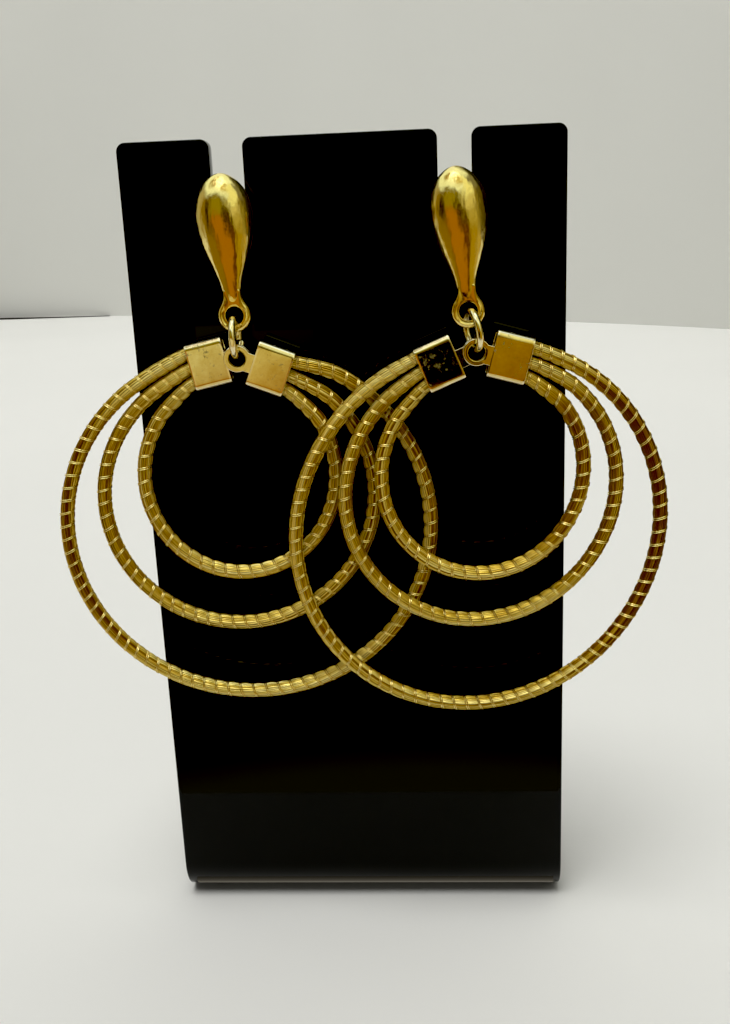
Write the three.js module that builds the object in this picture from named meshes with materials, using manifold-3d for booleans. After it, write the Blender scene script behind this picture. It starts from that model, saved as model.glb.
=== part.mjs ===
// A pair of triple hoop earrings hung on a plain black acrylic stand.
// Each earring: a cast teardrop stud with an eye, a wire jump ring, and two folded
// clamps that hold the ends of three hoops, one inside the other, made of grass
// stalks bundled and wound with thread.
// Millimetres, +Z up, +X to the viewer's right, the viewer on the -Y side.
// The origin is the middle of the flat underside of the stand's foot.
import * as THREE from 'three';
import { mergeVertices } from 'three/addons/utils/BufferGeometryUtils.js';
import Module from 'manifold-3d';

const wasm = await Module();
wasm.setup();

// ---------------------------------------------------------------- dimensions

const stand = {
  width: 80,
  height: 156,
  sheet: 3,             // thickness of the acrylic sheet
  bendRadius: 9,        // outside radius of the heat bend between panel and foot
  footDepth: 95,        // from the panel's front face to the foot's back edge
  cornerRadius: 1.6,
  slotWidth: 6,
  slotCentre: 20.27,    // each side of the middle
  slotFloor: 141.2,     // height of the slots' floor, where the posts rest
};
const panelY = -(stand.bendRadius + stand.footDepth) / 2;   // the panel's front face

const stud = {
  postAboveEye: 17,
  postRadius: 0.4,
  postLength: 13,
  bulbSetBack: 1,       // the bulb's middle lies this far behind the eye's
  frontDepth: 0.74,     // depth of the bulb's front and back as shares of its half width
  backDepth: 0.68,
  eyeRadius: 2.95,
  eyeHole: 1.65,
  eyeThickness: 1.5,
  neckHalfWidth: 1.4,
  neckAboveEye: 4.9,
};
// The bulb's half width at heights above the centre of the eye.
const bulbRows = [
  { height: 24.35, halfWidth: 0.7 },
  { height: 23.9, halfWidth: 1.6 },
  { height: 22.6, halfWidth: 3.0 },
  { height: 20.6, halfWidth: 4.15 },
  { height: 17.6, halfWidth: 4.78 },
  { height: 14.4, halfWidth: 4.6 },
  { height: 11.4, halfWidth: 3.85 },
  { height: 8.4, halfWidth: 2.75 },
  { height: 6.2, halfWidth: 1.85 },
  { height: 4.6, halfWidth: 1.35 },
];
const bulbTop = 24.5;

const earNut = { width: 8.4, height: 5, plate: 0.45, curlRadius: 1.5, curlWall: 0.4, holeRadius: 0.65 };

const ring = {
  radius: 3.475,        // from the ring's centre to the wire's centre
  wireRadius: 0.65,
  cutDegrees: 5,        // the gap between the bent wire's two ends
  cutAt: -20,           // its place on the ring's back, in degrees above the ring's centre
};

const clamp = {
  length: 6.9,
  height: 8.75,
  thickness: 3.4,
  wall: 0.5,
  foldRadius: 0.9,
  loopRadius: 2.45,
  loopHole: 1.5,
  loopThickness: 0.8,
  loopDrop: 0.45,       // the loop's centre hangs this far below the wire's centre
  tongueHalfWidth: 1.75,
  setBack: 0.55,        // the rear clamp lies this far behind the drop's plane, the front one before it
};

const rod = {
  radius: 1.42,
  clampedRadius: 1.0,   // where the clamp squeezes the bundle
  pitch: 2.6,           // between neighbouring rods inside a clamp
  insertion: 5.5,       // how far a rod reaches into its clamp
  flare: 7,             // length over which a rod regains its full radius outside the clamp
  sides: 10,
};

// Each drop hangs from the lower wire of its jump ring, and its plane is turned a
// little, so that the two pairs of hoops pass each other where they overlap.
// Places in a drop are x to the right and z up from that wire's centre.
// A hoop's radius at an angle t is radius + wide * cos 2t + skew * sin 2t.
const dropTurn = THREE.MathUtils.degToRad(3);
const earrings = [
  {
    side: 'left',
    pivot: { x: -19.85, y: -4.3, z: 118.2 },
    eye: { x: -19.65, z: 125.45 },
    lean: 2.4,
    ringTilt: 0,
    ringTurn: 0,
    clamps: [
      { name: 'rear', x: -5.48, z: -1.44, slope: 12.1 },
      { name: 'front', x: 5.9, z: -2.67, slope: -22 },
    ],
    hoops: [
      { name: 'outer', x: -0.2, z: -32.9, radius: 34.2, wide: 0.47, skew: 0.04, lean: 0.35 },
      { name: 'middle', x: -1.58, z: -26.7, radius: 25.35, wide: 0.23, skew: 0.28, lean: 0.7 },
      { name: 'inner', x: -1.12, z: -22.6, radius: 18.45, wide: -0.41, skew: 0.09, lean: 1.1 },
    ],
  },
  {
    side: 'right',
    pivot: { x: 23.3, y: -6.1, z: 118.2 },
    eye: { x: 22.05, z: 124.95 },
    lean: 3.05,
    ringTilt: 9,
    ringTurn: 18,
    clamps: [
      { name: 'rear', x: -6.5, z: -2.53, slope: 22.2 },
      { name: 'front', x: 6.07, z: -1.76, slope: -16 },
    ],
    hoops: [
      { name: 'outer', x: -0.15, z: -34.15, radius: 34.4, wide: -0.42, skew: 0.88, lean: 0.35 },
      { name: 'middle', x: 0.48, z: -26.4, radius: 25, wide: 0, skew: 0.56, lean: 0.7 },
      { name: 'inner', x: 0.83, z: -22.8, radius: 18.9, wide: -0.35, skew: 0.22, lean: 1.1 },
    ],
  },
];

// ------------------------------------------------------------------- helpers

// A closed geometry becomes a solid for joins and cuts.
function solid(geometry) {
  const bare = geometry.index ? geometry.toNonIndexed() : geometry.clone();
  bare.deleteAttribute('normal');
  bare.deleteAttribute('uv');
  const merged = mergeVertices(bare, 1e-4);
  return new wasm.Manifold(new wasm.Mesh({
    numProp: 3,
    vertProperties: new Float32Array(merged.attributes.position.array),
    triVerts: new Uint32Array(merged.index.array),
  }));
}

// The result of the joins and cuts goes back to a geometry.
function geometryOf(manifold) {
  const { vertProperties, triVerts } = manifold.getMesh();
  const geometry = new THREE.BufferGeometry();
  geometry.setAttribute('position', new THREE.BufferAttribute(vertProperties, 3));
  geometry.setIndex(new THREE.BufferAttribute(triVerts, 1));
  geometry.computeVertexNormals();
  return geometry;
}

// A closed skin over a row of rings of points, with a flat end at each end of the row.
function skin(rings) {
  const sides = rings[0].length;
  const points = rings.flat();
  const index = [];
  for (let row = 0; row + 1 < rings.length; row += 1) {
    for (let side = 0; side < sides; side += 1) {
      const next = (side + 1) % sides;
      const a = row * sides + side;
      const b = row * sides + next;
      index.push(a, b, b + sides, a, b + sides, a + sides);
    }
  }
  const last = (rings.length - 1) * sides;
  for (let side = 1; side + 1 < sides; side += 1) {
    index.push(0, side + 1, side, last, last + side, last + side + 1);
  }
  const geometry = new THREE.BufferGeometry().setFromPoints(points);
  geometry.setIndex(index);
  geometry.computeVertexNormals();
  return geometry;
}

// An outline in x and z, carried along y from near to far.
function slab(shape, near, far, curveSegments = 8) {
  const geometry = new THREE.ExtrudeGeometry(shape, { depth: far - near, bevelEnabled: false, curveSegments });
  geometry.rotateX(Math.PI / 2);
  geometry.translate(0, far, 0);
  return geometry;
}

function roundedRectangle(width, height, radius) {
  const [w, h] = [width / 2, height / 2];
  const shape = new THREE.Shape();
  shape.absarc(w - radius, h - radius, radius, 0, Math.PI / 2);
  shape.absarc(-w + radius, h - radius, radius, Math.PI / 2, Math.PI);
  shape.absarc(-w + radius, -h + radius, radius, Math.PI, 1.5 * Math.PI);
  shape.absarc(w - radius, -h + radius, radius, 1.5 * Math.PI, 2 * Math.PI);
  shape.closePath();
  return shape;
}

function disc(radius, x = 0, z = 0) {
  const shape = new THREE.Shape();
  shape.absarc(x, z, radius, 0, 2 * Math.PI);
  return shape;
}

// --------------------------------------------------------------------- stand

// The side view of the bent sheet: the panel stands up, the foot runs back from the bend.
function sheetProfile() {
  const { height, sheet, bendRadius, footDepth } = stand;
  const bendY = panelY + bendRadius;
  const shape = new THREE.Shape();
  shape.moveTo(panelY + sheet, height);
  shape.lineTo(panelY, height);
  shape.absarc(bendY, bendRadius, bendRadius, Math.PI, 1.5 * Math.PI);
  shape.lineTo(panelY + footDepth, 0);
  shape.lineTo(panelY + footDepth, sheet);
  shape.absarc(bendY, bendRadius, bendRadius - sheet, 1.5 * Math.PI, Math.PI, true);
  shape.closePath();
  return shape;
}

// The front view: two slots open at the top, and every top corner rounded.
function frontOutline() {
  const { width, height, cornerRadius: r, slotWidth, slotCentre, slotFloor } = stand;
  const shape = new THREE.Shape();
  shape.moveTo(-width / 2, -1);
  shape.lineTo(width / 2, -1);
  const tops = [
    [width / 2, slotCentre + slotWidth / 2],
    [slotCentre - slotWidth / 2, -slotCentre + slotWidth / 2],
    [-slotCentre - slotWidth / 2, -width / 2],
  ];
  for (const [right, left] of tops) {
    if (right < width / 2) shape.lineTo(right, slotFloor);
    shape.absarc(right - r, height - r, r, 0, Math.PI / 2);
    shape.absarc(left + r, height - r, r, Math.PI / 2, Math.PI);
    if (left > -width / 2) shape.lineTo(left, slotFloor);
  }
  shape.closePath();
  return shape;
}

function standGeometry() {
  const { width, footDepth, cornerRadius } = stand;
  const bent = new THREE.ExtrudeGeometry(sheetProfile(), { depth: width, bevelEnabled: false, curveSegments: 10 });
  bent.rotateX(Math.PI / 2);
  bent.rotateZ(Math.PI / 2);
  bent.translate(width / 2, 0, 0);
  bent.computeBoundingBox();
  bent.translate(-(bent.boundingBox.min.x + bent.boundingBox.max.x) / 2, 0, 0);
  const front = slab(frontOutline(), panelY - 1, panelY + footDepth + 1, 6);
  const plan = new THREE.ExtrudeGeometry(
    roundedRectangle(width, 2 * footDepth, cornerRadius),
    { depth: stand.height + 2, bevelEnabled: false, curveSegments: 6 },
  );
  plan.translate(0, panelY, -1);
  return geometryOf(solid(bent).intersect(solid(front)).intersect(solid(plan)));
}

// ---------------------------------------------------------------------- stud

// A ring of the bulb: a half ellipse in front and another behind.
function bulbRing(height, halfWidth, sides = 16) {
  return Array.from({ length: sides }, (_, i) => {
    const angle = (2 * Math.PI * i) / sides;
    const depth = Math.sin(angle) < 0 ? stud.frontDepth : stud.backDepth;
    return new THREE.Vector3(
      halfWidth * Math.cos(angle),
      stud.bulbSetBack * THREE.MathUtils.smoothstep(height, stud.neckAboveEye, stud.postAboveEye)
        + halfWidth * depth * Math.sin(angle),
      height,
    );
  });
}

// The eye's outline: a round bottom, drawn in to the neck above.
function eyeOutline() {
  const { eyeRadius, neckHalfWidth, neckAboveEye } = stud;
  const shoulder = THREE.MathUtils.degToRad(35);
  const shape = new THREE.Shape();
  shape.moveTo(-neckHalfWidth, neckAboveEye);
  shape.quadraticCurveTo(
    -neckHalfWidth, eyeRadius * 0.95,
    -eyeRadius * Math.cos(shoulder), eyeRadius * Math.sin(shoulder),
  );
  shape.absarc(0, 0, eyeRadius, Math.PI - shoulder, 2 * Math.PI + shoulder);
  shape.quadraticCurveTo(neckHalfWidth, eyeRadius * 0.95, neckHalfWidth, neckAboveEye);
  shape.closePath();
  shape.holes.push(disc(stud.eyeHole));
  return shape;
}

// Bulb, neck, eye and post are one casting.
function studGeometry() {
  const rings = bulbRows.map((row) => bulbRing(row.height, row.halfWidth));
  rings.unshift(bulbRing(bulbTop, 0.15));
  rings.reverse();
  const half = stud.eyeThickness / 2;
  const post = new THREE.CylinderGeometry(stud.postRadius, stud.postRadius, stud.postLength, 8);
  post.translate(0, stud.postLength / 2, stud.postAboveEye);
  return geometryOf(
    solid(skin(rings))
      .add(solid(slab(eyeOutline(), -half, half, 10)))
      .add(solid(post)),
  );
}

// -------------------------------------------------------------------- ear nut

// A butterfly nut: a plate with a hole for the post, and two curled ears behind it.
function earNutGeometry() {
  const { width, height, plate, curlRadius, curlWall, holeRadius } = earNut;
  const base = roundedRectangle(width, height, 1.2);
  base.holes.push(disc(holeRadius));
  let nut = solid(slab(base, 0, plate, 6));
  for (const sign of [-1, 1]) {
    const curl = new THREE.Shape();
    curl.absarc(0, 0, curlRadius, 0, 1.6 * Math.PI);
    curl.absarc(0, 0, curlRadius - curlWall, 1.6 * Math.PI, 0, true);
    curl.closePath();
    const ear = new THREE.ExtrudeGeometry(curl, { depth: height * 0.8, bevelEnabled: false, curveSegments: 14 });
    ear.rotateZ(-Math.PI / 2);
    if (sign < 0) ear.rotateY(Math.PI).translate(0, 0, height * 0.8);
    ear.translate(sign * (curlRadius + 0.75), plate + curlRadius - 0.15, -height * 0.4);
    nut = nut.add(solid(ear));
  }
  return geometryOf(nut);
}

// ------------------------------------------------------------------ jump ring

// A round wire bent into a ring, in the y-z plane, with the wire's lower centre at the origin.
class RingCurve extends THREE.Curve {
  getPoint(t, target = new THREE.Vector3()) {
    const cut = THREE.MathUtils.degToRad(ring.cutDegrees);
    const angle = THREE.MathUtils.degToRad(ring.cutAt) + cut / 2 + t * (2 * Math.PI - cut);
    return target.set(0, ring.radius * Math.cos(angle), ring.radius * (1 + Math.sin(angle)));
  }
}

function jumpRingGeometry() {
  return new THREE.ExtrudeGeometry(disc(ring.wireRadius), {
    extrudePath: new RingCurve(), steps: 30, curveSegments: 4, bevelEnabled: false,
  });
}

// -------------------------------------------------------------------- clamps

// A strip folded round into a flat sleeve, open at both ends, whose front wall runs
// out into a tongue with a loop. Written about the sleeve's middle, mouth on the -x side.
function clampGeometry(place) {
  const { length, height, thickness, wall, foldRadius } = clamp;
  const section = roundedRectangle(thickness, height, foldRadius);
  section.holes.push(roundedRectangle(thickness - 2 * wall, height - 2 * wall, foldRadius - wall));
  const sleeve = new THREE.ExtrudeGeometry(section, { depth: length, bevelEnabled: false, curveSegments: 4 });
  sleeve.rotateX(Math.PI / 2);
  sleeve.rotateZ(Math.PI / 2);
  sleeve.computeBoundingBox();
  sleeve.translate(-(sleeve.boundingBox.min.x + sleeve.boundingBox.max.x) / 2, 0, 0);

  // The loop's centre, seen from the sleeve's own axes.
  const slope = THREE.MathUtils.degToRad(place.slope);
  const toLoop = new THREE.Vector2(-place.x, -clamp.loopDrop - place.z).rotateAround(new THREE.Vector2(), -slope);
  const end = Math.sign(toLoop.x) * (length / 2 - 0.6);
  const tongue = new THREE.Shape();
  tongue.moveTo(end, toLoop.y - clamp.tongueHalfWidth);
  tongue.lineTo(toLoop.x, toLoop.y - clamp.tongueHalfWidth);
  tongue.lineTo(toLoop.x, toLoop.y + clamp.tongueHalfWidth);
  tongue.lineTo(end, toLoop.y + clamp.tongueHalfWidth);
  tongue.closePath();
  const front = -thickness / 2;
  const back = front + clamp.loopThickness;
  return geometryOf(
    solid(sleeve)
      .add(solid(slab(tongue, front, back)))
      .add(solid(slab(disc(clamp.loopRadius, toLoop.x, toLoop.y), front, back, 14)))
      .subtract(solid(slab(disc(clamp.loopHole, toLoop.x, toLoop.y), front - 1, back + 0.2, 12))),
  );
}

// --------------------------------------------------------------------- hoops

// The line of a hoop: straight inside each clamp, round between them.
function hoopLine(earring, hoop, place) {
  const ends = earring.clamps.map((holder) => {
    const slope = THREE.MathUtils.degToRad(holder.slope);
    const outward = Math.sign(holder.x);
    const along = new THREE.Vector3(outward * Math.cos(slope), 0, outward * Math.sin(slope));
    const across = new THREE.Vector3(-Math.sin(slope), 0, Math.cos(slope));
    const depth = holder.name === 'rear' ? clamp.setBack : -clamp.setBack;
    const mouth = new THREE.Vector3(holder.x, depth, holder.z)
      .addScaledVector(along, clamp.length / 2)
      .addScaledVector(across, place * rod.pitch);
    return { along, depth, mouth };
  });
  const angles = ends.map(({ mouth }) => Math.atan2(mouth.z - hoop.z, mouth.x - hoop.x));
  const margin = 8 / hoop.radius;
  const from = angles[0] + margin;
  const to = angles[1] - margin + 2 * Math.PI;
  const round = [];
  const steps = 26;
  for (let i = 0; i <= steps; i += 1) {
    const t = from + ((to - from) * i) / steps;
    const r = hoop.radius + hoop.wide * Math.cos(2 * t) + hoop.skew * Math.sin(2 * t);
    const z = hoop.z + r * Math.sin(t);
    const fade = (end) => end.depth * (1 - THREE.MathUtils.smoothstep(
      Math.abs(t - (end === ends[0] ? from : to)) * hoop.radius, 0, 22));
    const y = fade(ends[0]) + fade(ends[1]) + (hoop.lean * Math.min(z, 0)) / (2 * hoop.radius);
    round.push(new THREE.Vector3(hoop.x + r * Math.cos(t), y, z));
  }
  const [first, last] = ends;
  return new THREE.CatmullRomCurve3([
    first.mouth.clone().addScaledVector(first.along, -rod.insertion),
    first.mouth.clone().addScaledVector(first.along, -rod.insertion / 2),
    first.mouth,
    ...round,
    last.mouth,
    last.mouth.clone().addScaledVector(last.along, -rod.insertion / 2),
    last.mouth.clone().addScaledVector(last.along, -rod.insertion),
  ], false, 'centripetal');
}

function hoopGeometry(earring, hoop, place) {
  const line = hoopLine(earring, hoop, place);
  const length = line.getLength();
  const steps = Math.round(length / 3.6);
  const rings = [];
  for (let i = 0; i <= steps; i += 1) {
    const u = i / steps;
    const centre = line.getPointAt(u);
    const tangent = line.getTangentAt(u);
    const outward = new THREE.Vector3(0, 1, 0).cross(tangent).normalize();
    const toBack = tangent.clone().cross(outward);
    const outside = Math.min(u, 1 - u) * length - rod.insertion;
    const radius = THREE.MathUtils.lerp(
      rod.clampedRadius, rod.radius, THREE.MathUtils.smoothstep(outside, 0, rod.flare));
    rings.push(Array.from({ length: rod.sides }, (_, side) => {
      const angle = (2 * Math.PI * side) / rod.sides;
      return centre.clone()
        .addScaledVector(outward, radius * Math.cos(angle))
        .addScaledVector(toBack, radius * Math.sin(angle));
    }));
  }
  return skin(rings);
}

// ------------------------------------------------------------------ assembly

const acrylic = () => new THREE.MeshStandardMaterial({ color: 0x0b0b0c, roughness: 0.08, metalness: 0 });
const polishedGold = () => new THREE.MeshStandardMaterial({ color: 0xd9a62e, roughness: 0.15, metalness: 1 });
const satinGold = () => new THREE.MeshStandardMaterial({ color: 0xc9a54a, roughness: 0.35, metalness: 1 });
const goldenGrass = () => new THREE.MeshStandardMaterial({ color: 0xb88a3c, roughness: 0.45, metalness: 0.1 });

const model = new THREE.Group();

function add(parent, name, geometry, material) {
  const mesh = new THREE.Mesh(geometry, material);
  mesh.name = name;
  parent.add(mesh);
  return mesh;
}

add(model, 'stand', standGeometry(), acrylic());

for (const earring of earrings) {
  const { side, pivot, eye } = earring;
  const loopsDepth = -(clamp.thickness - clamp.loopThickness) / 2;   // midway between the two loops
  const eyeY = panelY + pivot.y + loopsDepth;

  const studMesh = add(model, `${side}_stud`, studGeometry(), polishedGold());
  studMesh.position.set(eye.x, eyeY, eye.z);
  studMesh.rotation.y = -THREE.MathUtils.degToRad(earring.lean);

  const lean = THREE.MathUtils.degToRad(earring.lean);
  const nut = add(model, `${side}_ear_nut`, earNutGeometry(), polishedGold());
  nut.position.set(
    eye.x - stud.postAboveEye * Math.sin(lean),
    panelY + stand.sheet + 0.3,
    eye.z + stud.postAboveEye * Math.cos(lean),
  );

  const jumpRing = add(model, `${side}_jump_ring`, jumpRingGeometry(), polishedGold());
  jumpRing.position.set(pivot.x, eyeY, pivot.z);
  jumpRing.rotation.order = 'ZYX';
  jumpRing.rotation.set(0, -THREE.MathUtils.degToRad(earring.ringTilt), THREE.MathUtils.degToRad(earring.ringTurn));

  const drop = new THREE.Group();
  drop.position.set(pivot.x, panelY + pivot.y, pivot.z);
  drop.rotation.z = dropTurn;
  model.add(drop);
  for (const place of earring.clamps) {
    const piece = add(drop, `${side}_${place.name}_clamp`, clampGeometry(place), satinGold());
    piece.position.set(place.x, place.name === 'rear' ? clamp.setBack : -clamp.setBack, place.z);
    piece.rotation.y = -THREE.MathUtils.degToRad(place.slope);
  }
  earring.hoops.forEach((hoop, i) => {
    add(drop, `${side}_${hoop.name}_hoop`, hoopGeometry(earring, hoop, 1 - i), goldenGrass());
  });
}

export default model;
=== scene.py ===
# %% [markdown]
# # A pair of triple hoop earrings on an acrylic stand
#
# Each earring is a cast gold stud, a jump ring, two folded clamps and three hoops. A hoop is a
# bundle of golden grass stalks wound with metal thread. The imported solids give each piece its
# place and size, and the cells below dress it with a finer surface and a finish of its own.
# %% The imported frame
import math

import bpy
import numpy as np
from mathutils import Matrix


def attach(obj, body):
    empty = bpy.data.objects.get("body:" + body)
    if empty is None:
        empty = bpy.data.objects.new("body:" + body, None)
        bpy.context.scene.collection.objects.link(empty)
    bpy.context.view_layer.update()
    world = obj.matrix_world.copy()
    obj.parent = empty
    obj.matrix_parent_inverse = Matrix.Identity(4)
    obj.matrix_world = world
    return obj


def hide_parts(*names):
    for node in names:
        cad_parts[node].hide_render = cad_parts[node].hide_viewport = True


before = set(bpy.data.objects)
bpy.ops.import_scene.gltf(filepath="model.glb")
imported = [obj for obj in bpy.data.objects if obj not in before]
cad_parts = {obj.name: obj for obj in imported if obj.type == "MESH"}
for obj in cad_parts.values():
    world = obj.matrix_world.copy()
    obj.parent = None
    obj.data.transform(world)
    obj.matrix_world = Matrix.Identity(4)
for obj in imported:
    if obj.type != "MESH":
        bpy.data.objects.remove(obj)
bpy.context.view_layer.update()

MM = 0.001  # the tables below are in millimetres, Blender works in metres
print("nodes:", len(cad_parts))

# %% [markdown]
# ## Measures
#
# The same named sizes shape the solids, so a dressed piece lands exactly where its solid is.
# They are kept in one place because almost every piece borrows a size from its neighbour. A few
# are finer here than in the solids: the bulb is a little fuller, the folds are rounder, and the
# bundles are a hair thinner, because their thread stands proud of them.
# %% Stand, stud, nut, ring, clamp and rod in millimetres
STAND = dict(width=80, height=156, sheet=3, bend=9, foot=95, corner=1.6,
             slot=6, slot_centre=20.27, slot_floor=141.2)
PANEL_Y = -(STAND["bend"] + STAND["foot"]) / 2  # the panel's front face
STUD = dict(post_above_eye=17, set_back=1, front=0.74, back=0.68,
            eye_radius=2.95, eye_hole=1.65, neck=1.58, neck_above_eye=4.9)
NUT = dict(width=8.4, height=5, corner=1.2, plate=0.45, curl=1.5, wall=0.4, hole=0.65)
RING = dict(radius=3.475, wire=0.65, cut=5)
CLAMP = dict(length=6.9, height=8.75, thickness=3.4, wall=0.5, fold=1.2, loop=2.45, hole=1.5,
             loop_thickness=0.8, loop_drop=0.45, tongue=1.75, set_back=0.55)
ROD = dict(radius=1.33, clamped=1.23, pitch=2.6, insertion=5.5, flare=7)
DROP_TURN = math.radians(3)  # both drops hang a little turned about the upright

# Half width of the stud's bulb at heights above the centre of its eye.
BULB = np.array([  # height, half width
    (24.6, 0), (24.45, 0.8), (23.95, 1.85), (22.6, 3.35), (20.6, 4.5), (17.6, 5.1), (14.4, 4.88),
    (11.4, 4.05), (8.4, 2.9), (6.2, 2.1), (5.2, 1.86), (4.6, 1.76), (3.9, 1.62),
    (3.3, 1.45), (2.8, 1.25), (2.3, 1.0), (2.0, 0.8), (1.86, 0.5), (1.8, 0.1)])
print("panel front at y =", PANEL_Y, "mm")

# %% The two earrings
# pivot is the middle of the jump ring's lower wire, from the panel's front in y. Places in a drop
# are x to the right and z up from there. Slopes, leans and turns are in degrees, but a hoop's lean
# is how many millimetres its lowest point stands forward. A hoop's radius at an angle t is
# radius + wide cos 2t + skew sin 2t, and its last number is painted shade: how much darker and
# redder its outer side is painted. touched is the place and the strength of the fingermarks on a
# clamp's front.
EARRINGS = [
    dict(side="left", pivot=(-19.85, -4.3, 118.2), eye=(-19.65, 125.45), lean=2.4, bulb_lean=0.4,
         ring_tilt=0, ring_turn=0, ring_cut=-20,
         clamps=[dict(name="rear", x=-5.48, z=-1.44, slope=12.1, touched=(-0.6, 2.9, 0.8)),
                 dict(name="front", x=5.9, z=-2.67, slope=-22, touched=(1, 2, 0.2))],
         hoops=[dict(name="outer", x=-0.2, z=-32.9, radius=34.2, wide=0.47, skew=0.04,
                     lean=0.35, painted_side_shade=0.28),
                dict(name="middle", x=-1.58, z=-26.7, radius=25.35, wide=0.23, skew=0.28,
                     lean=0.7, painted_side_shade=0.1),
                dict(name="inner", x=-1.12, z=-22.6, radius=18.45, wide=-0.41, skew=0.09,
                     lean=0.9, painted_side_shade=0.04)]),
    dict(side="right", pivot=(23.3, -6.1, 118.2), eye=(22.05, 124.95), lean=3.05, bulb_lean=1.6,
         ring_tilt=9, ring_turn=18, ring_cut=72,
         clamps=[dict(name="rear", x=-6.5, z=-2.53, slope=22.2, touched=(-0.9, 0.9, 0.9)),
                 dict(name="front", x=6.07, z=-1.76, slope=-16, touched=(-2, 3, 0.3))],
         hoops=[dict(name="outer", x=-0.15, z=-34.15, radius=34.4, wide=-0.42, skew=0.88,
                     lean=0.35, painted_side_shade=0.45),
                dict(name="middle", x=0.48, z=-26.4, radius=25, wide=0, skew=0.56,
                     lean=0.7, painted_side_shade=0.22),
                dict(name="inner", x=0.83, z=-22.8, radius=18.9, wide=-0.35, skew=0.22,
                     lean=1.1, painted_side_shade=0.12)]),
]
print("hoops:", sum(len(earring["hoops"]) for earring in EARRINGS))

# %% [markdown]
# ## Surfaces from grids of points
#
# A wire, a sleeve, a straw bundle and a bent sheet have one thing in common: each is a grid of
# points with rows along it and columns round it. So the pieces share one helper that joins the
# neighbours of a grid with quads. It also measures the volume it encloses, because a negative
# volume means that the faces look inwards, and then it turns them.
# %% Grids of points and closed shells
def grid_quads(rows, columns, wrap_rows=False, wrap_columns=False):
    """For each point of a grid, the quad to the next point in its row and in the row below. A
    wrapped direction also joins the last line of points to the first."""
    i = np.arange(rows if wrap_rows else rows - 1)[:, None]
    j = np.arange(columns if wrap_columns else columns - 1)[None, :]
    below, beside = (i + 1) % rows, (j + 1) % columns
    corners = [i * columns + j, i * columns + beside, below * columns + beside, below * columns + j]
    return np.stack(np.broadcast_arrays(*corners), -1).reshape(-1, 4)


def shell(grid, wrap_rows=False):
    """A closed surface over grid[row, column], whose rows are rings: quads between neighbours, and
    a fan from the middle of an open first and last row. Its volume is a sixth of the sum of
    a . (b x c) over its triangles, and where that is negative the faces are turned."""
    rows, columns = grid.shape[:2]
    quads = grid_quads(rows, columns, wrap_rows, wrap_columns=True)
    points, fans = grid.reshape(-1, 3), np.zeros((0, 3), int)
    if not wrap_rows:
        ring = np.arange(columns)
        following = np.roll(ring, -1)
        last, first_pole, last_pole = (rows - 1) * columns, len(points), len(points) + 1
        points = np.vstack([points, grid[0].mean(0), grid[-1].mean(0)])
        fans = np.vstack([np.stack([np.full(columns, first_pole), following, ring], 1),
                          np.stack([np.full(columns, last_pole), last + ring, last + following], 1)])
    triangles = points[np.vstack([quads[:, [0, 1, 2]], quads[:, [0, 2, 3]], fans])]
    a, b, c = triangles[:, 0], triangles[:, 1], triangles[:, 2]
    if (a * np.cross(b, c)).sum() < 0:
        quads, fans = quads[:, ::-1], fans[:, ::-1]
    return points, quads.tolist() + fans.tolist()


print("an open grid of 3 x 4 points has", len(grid_quads(3, 4)), "quads")

# %% Turns and eased steps
def turned(points, axis, angle):
    """Points turned about a coordinate axis by an angle, counterclockwise seen from its far end."""
    c, s = math.cos(angle), math.sin(angle)
    x, y, z = points[..., 0], points[..., 1], points[..., 2]
    spun = {"x": (x, c * y - s * z, s * y + c * z), "y": (c * x + s * z, y, c * z - s * x),
            "z": (c * x - s * y, s * x + c * y, z)}[axis]
    return np.stack(spun, -1)


def unit(vectors):
    """Each vector divided by its length."""
    return vectors / np.linalg.norm(vectors, axis=-1, keepdims=True)


def smoothstep(x, low, high):
    """0 below low, 1 above high, and 3t^2 - 2t^3 between them."""
    t = np.clip((x - low) / (high - low), 0, 1)
    return t * t * (3 - 2 * t)


print("x turned a quarter about z is y:", turned(np.array([1.0, 0, 0]), "z", math.pi / 2).round(3))

# %% [markdown]
# Wires and hoops follow a line in space. A Catmull-Rom curve suits measured points, because it
# goes through every one of them, and a tube carries a circle along the line.
# %% Smooth lines and tubes
def smooth_line(points, samples=40):
    """A centripetal Catmull-Rom curve: between two points it is the cubic whose end slopes look at
    the neighbours too, each step weighed by the square root of its length."""
    p = np.vstack([2 * points[0] - points[1], points, 2 * points[-1] - points[-2]])
    step = np.maximum(np.linalg.norm(np.diff(p, axis=0), axis=1), 1e-6) ** 0.5
    before, here, after = (step[k:len(step) - 2 + k, None] for k in range(3))
    p0, p1, p2, p3 = (p[k:len(p) - 3 + k] for k in range(4))
    start = ((p1 - p0) / before - (p2 - p0) / (before + here) + (p2 - p1) / here) * here
    end = ((p2 - p1) / here - (p3 - p1) / (here + after) + (p3 - p2) / after) * here
    t = (np.arange(samples) / samples)[None, :, None]
    p1, p2, start, end = (v[:, None, :] for v in (p1, p2, start, end))
    curve = (p1 + start * t + (3 * (p2 - p1) - 2 * start - end) * t**2
             + (2 * (p1 - p2) + start + end) * t**3)
    return np.vstack([curve.reshape(-1, points.shape[1]), points[-1:]])


def evenly(line, spacing):
    """The line resampled at equal steps of about that spacing, and the distance along it."""
    run = np.concatenate([[0], np.cumsum(np.linalg.norm(np.diff(line, axis=0), axis=1))])
    along = np.linspace(0, run[-1], int(round(run[-1] / spacing)) + 1)
    return np.stack([np.interp(along, run, line[:, k]) for k in range(line.shape[1])], 1), along


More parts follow.
